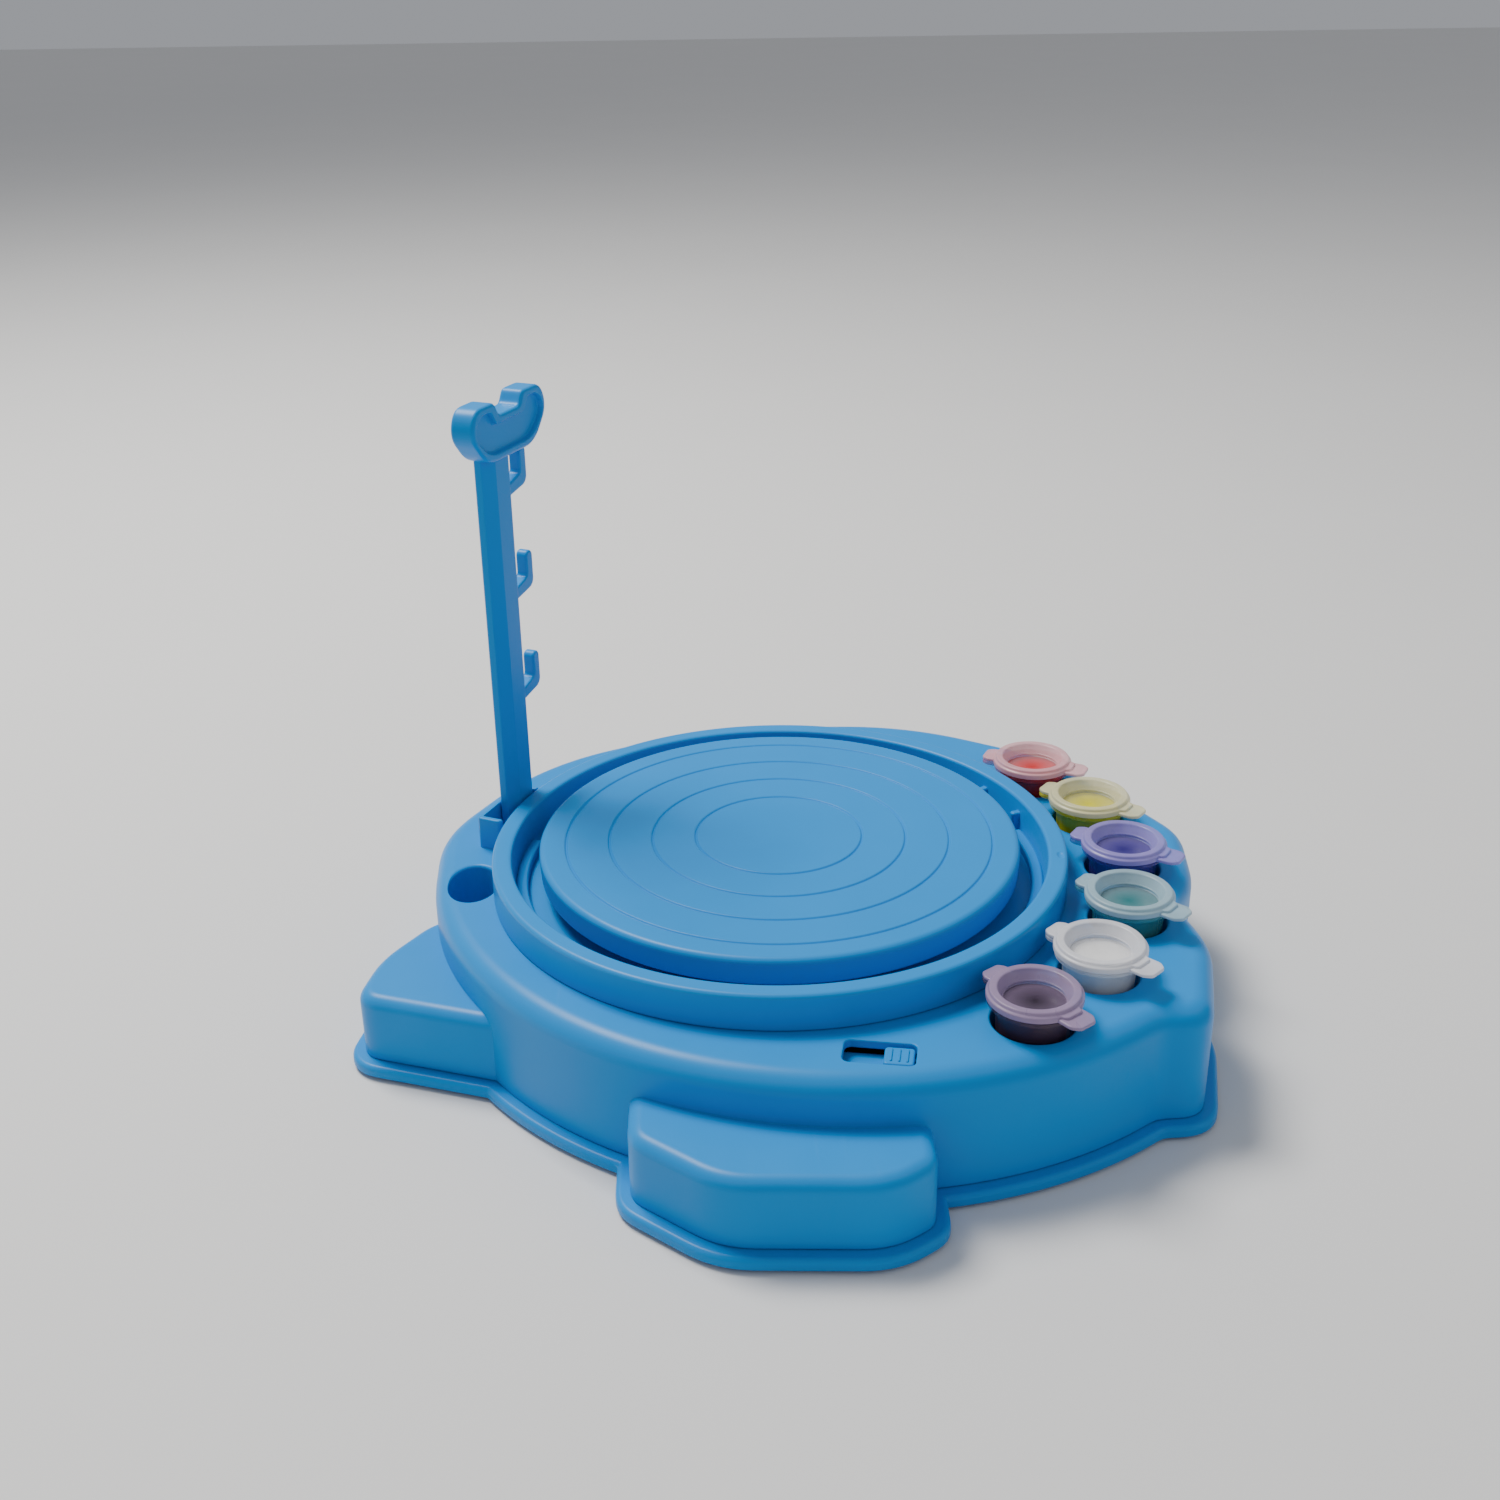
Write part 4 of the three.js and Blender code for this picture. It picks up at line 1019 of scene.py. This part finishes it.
@dataclass(frozen=True)
class Basin:
    """The splash ring round the turntable with its floor, its inner step and its drain ribs."""

    outer: float = 89.5
    inner: float = 83.4
    top: float = 51.8
    seat: float = 40.7
    floor: float = 40.0
    collar: float = 10.0
    collar_top: float = 46.5
    skin: float = 2.0
    ribs: tuple[float, ...] = (17.0, 31.0)
    dimple: Corner = (86.0, -13.9, 53.4)
    dimple_radii: Corner = (1.8, 3.6, 2.1)

    def profile(self) -> np.ndarray:
        """The turned section, from under the collar out to the ring and back along the floor."""
        floor, top, skin = self.floor, self.top, self.skin
        under, foot = top - skin, self.collar + 1.8
        return rounded([
            (self.collar, floor - 2), (self.inner + skin - 0.5, floor - 2, 0.4),
            (self.inner + skin, under, 0.3), (self.outer - skin, under, 0.3),
            (self.outer - skin, self.seat, 0.2), (self.outer, self.seat, 0.2), (self.outer, top, 1.5),
            (self.inner, top, 1.2), (self.inner - 1.2, floor, 2.6), (foot, floor, 1.6),
            (foot, self.collar_top, 0.6), (self.collar, self.collar_top, 0.4),
        ], 12.0)

    def ledge(self) -> Surface:
        """The step inside the wall, open over a stretch at the back."""
        outer, inner = self.inner - 1.0, self.inner - 4.6
        path = np.vstack([arc((0, 0), outer, 165, 375, 120), arc((0, 0), inner, 375, 165, 120)])
        return stacked(path, slab(self.floor - 0.5, self.floor + 3.0, top=0.9))

    def rib(self, angle: float) -> Surface:
        """A short upright rib on the inside of the wall."""
        plan = rounded([(-2.6, -1.3, 1.0), (1.2, -1.3), (1.2, 1.3), (-2.6, 1.3, 1.0)], 20.0)
        place = polar(self.inner - 0.6, angle)
        return stacked(turned_and_moved(plan, angle, place), slab(self.floor - 0.3, self.top - 4.0, top=0.8))

    def build(self, finishes: Finishes) -> None:
        """Joins the ring, the step and the ribs."""
        steps = [(Join.ADD, self.ledge()), *((Join.ADD, self.rib(angle)) for angle in self.ribs)]
        dimple = ellipsoid(self.dimple, self.dimple_radii)
        ring = combine(as_object("splash_ring", lathe(self.profile(), 224)), [*steps, (Join.CUT, dimple)])
        finish_piece(ring, finishes.blue, *BASE_PLASTIC, ["splash_basin"])


@dataclass(frozen=True)
class Feet:
    """Round rubber feet pressed into the tray."""

    radius: float = 7.0
    high: float = 2.0

    def build(self, finishes: Finishes) -> None:
        """Turns each foot at its place in the frame."""
        for name in ("foot_centre", *(f"foot_{index}" for index in range(1, len(FEET)))):
            low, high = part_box(name)
            middle = (low + high) / 2 / MM
            profile = rounded([(0, 0), (self.radius - 0.8, 0, 0.7), (self.radius - 0.05, self.high, 0.2),
                               (0, self.high)], 15.0)
            foot = as_object(f"{name}_pad", lathe(profile, 64).moved((middle.x, middle.y, 0.0)))
            finish_piece(foot, finishes.rubber, "base", "rubber", [name])


# ---- The turning and sliding pieces ----


@dataclass(frozen=True)
class Turntable:
    """The driven disc: shallow rings on its top, a rounded skirt, ribs and a bored hub below.

    Attributes:
        disc: the thickness of its face.
        skirt: the thickness of its skirt, and of the shroud round its hub.
        drop: how far the skirt hangs below the face.
        shroud: the inner radius of the shroud.
        grooves: the radii of the rings on its face, each wide by twice groove_wide.
    """

    radius: float = 74.9
    top: float = 54.0
    disc: float = 3.0
    skirt: float = 2.2
    drop: float = 8.5
    edge: float = 2.0
    shroud: float = 13.5
    hub: float = 7.5
    hub_drop: float = 12.0
    bore: float = 4.3
    bore_top: float = 50.8
    grooves: tuple[float, ...] = (66.4, 53.0, 39.5, 26.0)
    groove_wide: float = 0.65
    groove_deep: float = 0.55
    ribs: int = 8

    def face(self) -> list[Level]:
        """The face from its edge to its middle, lowered at each ring by depth (1 + cos) / 2."""
        points = []
        for groove in self.grooves:
            swing = np.linspace(-math.pi, math.pi, 13)
            radii = groove - swing / math.pi * self.groove_wide
            heights = self.top - self.groove_deep * (1 + np.cos(swing)) / 2
            points += list(zip(radii, heights))
        return [*points, (0.0, self.top)]

    def profile(self) -> np.ndarray:
        """The turned section."""
        under, low = self.top - self.disc, self.top - self.drop
        shroud, inside = self.shroud + self.skirt, self.radius - self.skirt
        flat_from = 60.0
        wall = rounded([
            (0, under), (self.shroud, under, 0.4), (self.shroud, low, 0.3), (shroud, low, 0.3),
            (shroud, under, 0.5), (inside, under, 0.6), (inside, low, 0.4), (self.radius - 0.5, low, 0.7),
            (self.radius, self.top, self.edge), (flat_from, self.top),
        ], 12.0)
        return np.vstack([wall[:-1], self.face()])

    def rib(self, index: int) -> Surface:
        """One rib under the face."""
        angle = 360.0 / self.ribs * (index + 0.5)
        plan = box((self.shroud + self.skirt - 0.2, self.radius - self.skirt + 0.2), (-0.8, 0.8))
        under = self.top - self.disc
        return stacked(turned_and_moved(plan, angle, (0, 0)), slab(under - 3.5, under + 0.2, bottom=0.4))

    def bore_cut(self) -> Surface:
        """The bore, flat on one side."""
        flat = np.array([point for point in circle((0, 0), self.bore, 64) if point[1] < 3.4])
        return stacked(flat, [(30.0, 0.0), (self.bore_top, 0.0)])

    def build(self, finishes: Finishes) -> None:
        """Joins the disc, the ribs and the hub."""
        levels = slab(self.top - self.hub_drop, self.top - self.disc + 0.2, bottom=0.4)
        ribs = [(Join.ADD, self.rib(index)) for index in range(self.ribs)]
        disc = as_object("turntable_disc", lathe(self.profile(), 256))
        hub = stacked(circle((0, 0), self.hub, 64), levels)
        combine(disc, [*ribs, (Join.ADD, hub), (Join.CUT, self.bore_cut())])
        finish_piece(disc, finishes.blue, "turntable", "blue_plastic", ["turntable"])


@dataclass(frozen=True)
class SwitchKnob:
    """The slide switch's knob on its sliding plate, with finger ridges on its top."""

    rest: float = 5.2
    travel: float = 8.5
    plate_top: float = 36.0
    plate: float = 1.5
    plate_size: Corner = (30.0, 10.6)
    knob_size: Corner = (8.2, 8.0)
    top: float = 40.15
    peg: float = 2.6
    peg_bottom: float = 30.0

    def box(self, size: Corner, middle: float, radius: float) -> np.ndarray:
        """A rounded rectangle, offset along the slot, in the slot's own directions."""
        long, wide = size[0] / 2, size[1] / 2
        return box((middle - long, middle + long), (-wide, wide), radius)

    def build(self, finishes: Finishes) -> None:
        """Joins the plate, the knob and the peg, and turns them into the slot's direction."""
        face, under = self.plate_top, self.plate_top - 0.5
        parts = [
            stacked(self.box(self.plate_size, self.travel / 2, 0.6), slab(face - self.plate, face)),
            stacked(self.box(self.knob_size, self.rest, 1.1), slab(under, self.top - 0.35, top=0.7)),
            stacked(self.box((self.peg, self.peg), self.rest, 0.2), slab(self.peg_bottom, under)),
        ]
        for step in (-2.2, 0.0, 2.2):
            ridge = self.box((0.7, self.knob_size[1] - 2.4), self.rest + step, 0.3)
            parts.append(stacked(ridge, slab(self.top - 1.0, self.top, top=0.3)))
        first, *others = [part.moved((*SLOT, 0.0), SLOT_TURN) for part in parts]
        knob = combine(as_object("switch_knob", first), [(Join.ADD, part) for part in others])
        finish_piece(knob, finishes.blue, "switch", "blue_plastic", ["switch_slider"])


@dataclass(frozen=True)
class Mast:
    """The lift-out tool mast: a bevelled bar with three hooks and a kidney-shaped head.

    Attributes:
        hooks: the heights where its hooks leave the bar.
        reach: how far a hook reaches beyond the bar's middle.
        rise: how much a hook rises on its way out.
        tip: the height of a hook's tip above its arm.
        head_half: the head's half width.
        head_offset: its middle from the bar's.
        rim: the width of the rim round its recess.
        notch: the notch's half width.
    """

    place: MastPlace = MastPlace()
    bottom: float = 15.0
    bar_top: float = 169.0
    hooks: tuple[float, ...] = (83.5, 118.0, 152.0)
    reach: float = 17.5
    rise: float = 2.0
    tip: float = 8.0
    thick: float = 4.0
    head_low: float = 166.0
    head_high: float = 184.0
    head_half: float = 23.0
    head_offset: float = 5.7
    head_faces: Level = (-4.5, 3.5)
    rim: float = 2.6
    recess: float = 1.6
    notch: float = 7.0
    notch_deep: float = 4.2

    def bar(self) -> Surface:
        """The bar, with the wide bevel on the edge that faces the wheel's front."""
        section = rounded([(-6.5, -0.2, 0.5), (-1.8, -2.5, 0.6), (6.5, -2.5, 0.7), (6.5, 2.5, 0.7),
                           (-6.5, 2.5, 0.7)], 18.0)
        return stacked(section, slab(self.bottom, self.bar_top, bottom=0.6))

    def hook(self, height: float) -> Surface:
        """One hook, rounded along all of its edges."""
        low, tip = height + self.rise, height + self.rise + self.tip + self.thick
        root, inside = 5.5, self.reach - self.thick
        outline = rounded([
            (root, height), (self.reach, low, 3.2), (self.reach, tip, 1.9), (inside, tip, 1.9),
            (inside, low + self.thick, 1.6), (root, height + self.thick),
        ], 12.0)
        return stacked(outline, slab(-self.thick / 2, self.thick / 2, top=0.7, bottom=0.7)).laid()

    def kidney(self, shrink: float) -> np.ndarray:
        """The head's outline made smaller by shrink: a full round belly and two lobes beside the notch."""
        wide, notch = self.head_half - shrink, self.notch + shrink
        low, high = self.head_low + shrink, self.head_high - shrink
        floor, waist = high - self.notch_deep, low + (high - low) * 0.55
        right = [(wide * 0.62, low, 12), (wide, waist, 7), (wide * 0.86, high, 5.5), (notch + 1.5, high, 2),
                 (notch - 1, floor, 2)]
        left = [(-x, z, radius) for x, z, radius in right[::-1]]
        corners = [(self.head_offset + x, z, radius) for x, z, radius in (left[-1], *right, *left[:-1])]
        return softened(rounded(corners, 9.0), 0.6, 0.5)

    def build(self, finishes: Finishes) -> None:
        """Joins the bar, hooks and head, sinks the head's face and stands the mast in its socket."""
        front, back = self.head_faces
        head = stacked(self.kidney(0.0), slab(front, back, top=1.1, bottom=1.1)).laid()
        floor = front + self.recess
        dish = stacked(self.kidney(self.rim), [(front - 1.0, -0.5), (front, -0.5), (front + 0.4, -0.1),
                                               (floor - 0.3, 0.1), (floor, 0.5)]).laid()
        hooks = [(Join.ADD, self.hook(height)) for height in self.hooks]
        steps = [*hooks, (Join.ADD, head), (Join.CUT, dish)]
        stand = self.place.origin(), self.place.turn
        mast = as_object("mast_piece", self.bar().moved(*stand))
        combine(mast, [(join, part.moved(*stand)) for join, part in steps])
        finish_piece(mast, finishes.blue, "mast", "blue_plastic", ["tool_mast"])


# ---- Paint pots ----


@dataclass(frozen=True)
class Pot:
    """A snap-lid cup of paint in its well.

    Attributes:
        name: the paint's name in the frame.
        paint: the paint's colour.
        cup: the colour that the cup's milky wall takes from it.
        rim: the colour of the lid's frosted rim.
    """

    name: str
    paint: Colour
    cup: Colour
    rim: Colour
    foot: float = 9.4
    mouth: float = 10.7
    high: float = 23.0
    wall: float = 1.0
    flange: float = 12.9
    lid: float = 13.35
    well: float = 9.4
    lid_high: float = 3.0
    hinge: float = 17.15
    thumb: float = 19.25
    tongue_ends: Level = (8.6, 6.0)
    plug: float = 9.0
    paint_level: float = 21.6
    cup_solidity: float = 0.42
    lid_solidity: float = 0.66

    def stand(self) -> tuple[Corner, float]:
        """Where the cup stands and which way its thumb tab points, from the frame's paint and hinge."""
        low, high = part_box(f"paint_{self.name}")
        hinge = next(joint for joint in frame["record"]["behaviour"]["joints"]
                     if joint["name"] == f"lid_{self.name}_hinge")
        yaw = math.degrees(math.atan2(hinge["axis"][0], -hinge["axis"][1]))
        middle = (low + high) / 2 / MM
        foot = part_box(f"pot_{self.name}")[0].z / MM
        return (middle.x, middle.y, foot), yaw

    def tongue(self, start: float, end: float, widths: Level, levels: Sequence[Level]) -> Surface:
        """A tab out to one side, narrower at its rounded end."""
        wide, narrow = widths
        side = math.copysign(1.0, end)
        corners = [(start, -wide / 2), (end - side * 2.2, -wide / 2, 2.5), (end, -narrow / 2, 1.6),
                   (end, narrow / 2, 1.6), (end - side * 2.2, wide / 2, 2.5), (start, wide / 2)]
        return stacked(rounded(corners if side > 0 else corners[::-1], 15.0), levels)

    def cup_parts(self) -> tuple[Surface, list[Surface]]:
        """The cup, with a thicker band under its flange, and its half of the hinge tongue."""
        top = self.high - 1.2
        shell = rounded([
            (0, 0.3), (self.foot - 2.2, 0.3, 0.3), (self.foot - 2.0, 0, 0.2), (self.foot, 0, 0.9),
            (self.mouth, top, 0.4), (self.flange, top, 0.3), (self.flange, self.high, 0.4),
            (self.mouth - self.wall, self.high, 0.4), (self.foot - self.wall, self.wall, 0.8), (0, self.wall),
        ], 18.0)
        levels = slab(top, self.high, top=0.3, bottom=0.3)
        tongue = self.tongue(-self.flange + 1.5, -self.hinge, self.tongue_ends, levels)
        return lathe(shell, 96), [tongue]

    def lid_parts(self) -> tuple[Surface, list[Surface]]:
        """The lid: a flat-topped round rim, a sloping inner wall, a sunk domed middle and its two tabs."""
        low = self.high + 0.3
        under, top = low - 1.2, low + self.lid_high
        swing = np.linspace(1.0, 0.0, 9)
        dome = [(7.9 * s, under + 1.1 + 0.35 * (1 - s ** 2)) for s in swing]
        shell = rounded([
            (0, under), (self.plug, under, 0.4), (self.plug, low, 0.2), (self.lid, low, 0.35),
            (self.lid, top - 1.3, 0.5), (self.lid - 0.7, top - 0.9, 0.4), (self.lid - 0.9, top, 0.7),
            (self.well + 0.9, top, 0.7),
            (self.well - 0.7, under + 1.1, 0.6), *dome,
        ], 18.0)
        levels = slab(low, low + 1.1, top=0.4, bottom=0.3)
        tabs = [
            self.tongue(self.lid - 1.2, self.thumb, (9.0, 5.4), levels),
            self.tongue(-self.lid + 1.2, -self.hinge, self.tongue_ends, levels),
            self.tongue(self.lid - 1.4, self.lid + 1.2, (7.4, 6.0), slab(low + 0.9, low + 1.9, top=0.4)),
        ]
        return lathe(shell, 96), tabs

    def filling(self) -> Surface:
        """The paint: a low meniscus against the cup's wall."""
        level, low, gap = self.paint_level, self.wall + 0.1, 0.08
        slope = (self.mouth - self.foot) / (self.high - self.wall)
        inner = self.foot - self.wall - gap + slope * (level - self.wall)
        swing = np.linspace(1.0, 0.0, 12)
        surface = [(inner * s, level - 0.45 * (1 - s ** 6)) for s in swing]
        return lathe(np.array([(0, low), (self.foot - self.wall - gap, low), *surface]), 64)

    def mark_window(self, piece: Object, centre: Corner) -> None:
        """Stores how far inside the lid's clear middle each vertex lies: one in it, zero on the rim."""
        count = len(piece.data.vertices)
        points = np.empty(3 * count)
        piece.data.vertices.foreach_get("co", points)
        away = np.linalg.norm(points.reshape(-1, 3)[:, :2] / MM - centre[:2], axis=1)
        clear = piece.data.attributes.new("clear", "FLOAT", "POINT")
        clear.data.foreach_set("value", np.clip((self.well - 0.5 - away) / 0.6, 0.0, 1.0))

    def build(self, finishes: Finishes) -> None:
        """Builds the cup, the lid and the paint at their place."""
        centre, yaw = self.stand()
        looks = (("cup", "pot", self.cup_parts(), self.cup, self.cup_solidity),
                 ("lid", "lid", self.lid_parts(), self.rim, self.lid_solidity))
        for part, node, (shell, extras), tint, solidity in looks:
            steps = [(Join.ADD, extra.moved(centre, yaw)) for extra in extras]
            piece = combine(as_object(f"{self.name}_{part}", shell.moved(centre, yaw)), steps)
            material = FrostedPlastic(f"{part}_plastic_{self.name}", tint, solidity).make()
            if part == "lid":
                self.mark_window(piece, centre)
            finish_piece(piece, material, f"{node}_{self.name}", "clear_plastic", [f"{node}_{self.name}"])
        paint = as_object(f"{self.name}_filling", self.filling().moved(centre, yaw))
        node = f"paint_{self.name}"
        finish_piece(paint, WetPaint(node, self.paint).make(), f"pot_{self.name}", node, [node])


POTS = (
    Pot("black", (0.008, 0.003, 0.010), (0.10, 0.06, 0.11), (0.40, 0.29, 0.46)),
    Pot("white", (0.86, 0.85, 0.82), (0.85, 0.85, 0.86), (0.82, 0.82, 0.85)),
    Pot("teal", (0.004, 0.15, 0.16), (0.12, 0.40, 0.44), (0.42, 0.60, 0.68)),
    Pot("indigo", (0.012, 0.003, 0.16), (0.07, 0.05, 0.36), (0.36, 0.30, 0.72)),
    Pot("yellow", (0.66, 0.60, 0.0), (0.72, 0.70, 0.04), (0.80, 0.76, 0.46)),
    Pot("red", (0.60, 0.009, 0.005), (0.62, 0.05, 0.06), (0.84, 0.46, 0.50)),
)


# ---- What keeps the frame's own shape ----


def dress_frame(finishes: Finishes) -> None:
    """Gives each remaining node of the frame its material, by the start of the node's name."""
    low, high = (corner.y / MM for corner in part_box("battery_1"))
    band, inset_by = 14.5, 1.5
    copper = (0.52, 0.24, 0.09)
    cells = [CellWrap("cell_wrap_back", copper, high - inset_by - band, high - inset_by).make(),
             CellWrap("cell_wrap_front", copper, low + inset_by, low + inset_by + band).make()]
    materials = {
        "cover_screw": finishes.steel, "battery_door": finishes.door, "battery_door_screw": finishes.steel,
        "battery_1": cells[0], "battery_2": cells[1], "battery_3": cells[0], "battery_4": cells[1],
        "contact": finishes.steel, "spindle": finishes.steel, "spindle_gear": finishes.white,
        "gear_plate": finishes.white, "upper_bush": finishes.brass, "lower_bush": finishes.brass,
        "idler_pin": finishes.steel, "idler_gear": finishes.white, "motor_can": finishes.steel,
        "motor_cap": finishes.white, "motor_pinion": finishes.brass, "motor_shaft": finishes.steel,
        "switch_body": finishes.black, "wire_battery": finishes.red_wire, "wire_switch": finishes.black_wire,
    }
    for name, node in frame["nodes"].items():
        starts = [start for start in materials if name.startswith(start)]
        if starts:
            node.data.materials.clear()
            node.data.materials.append(materials[max(starts, key=len)])
            smooth(node, 28.0)


def main() -> None:
    """Builds the scene in order: camera and light, the base, the moving pieces, the pots, the rest."""
    Studio().build()
    finishes = Finishes()
    for part in (Housing(), Tray(), Basin(), Feet(), Turntable(), SwitchKnob(), Mast(), *POTS):
        part.build(finishes)
    dress_frame(finishes)
    log.info("the wheel is built")


if __name__ == "__main__":
    logging.basicConfig(level=logging.INFO, format="%(name)s: %(message)s")
    main()
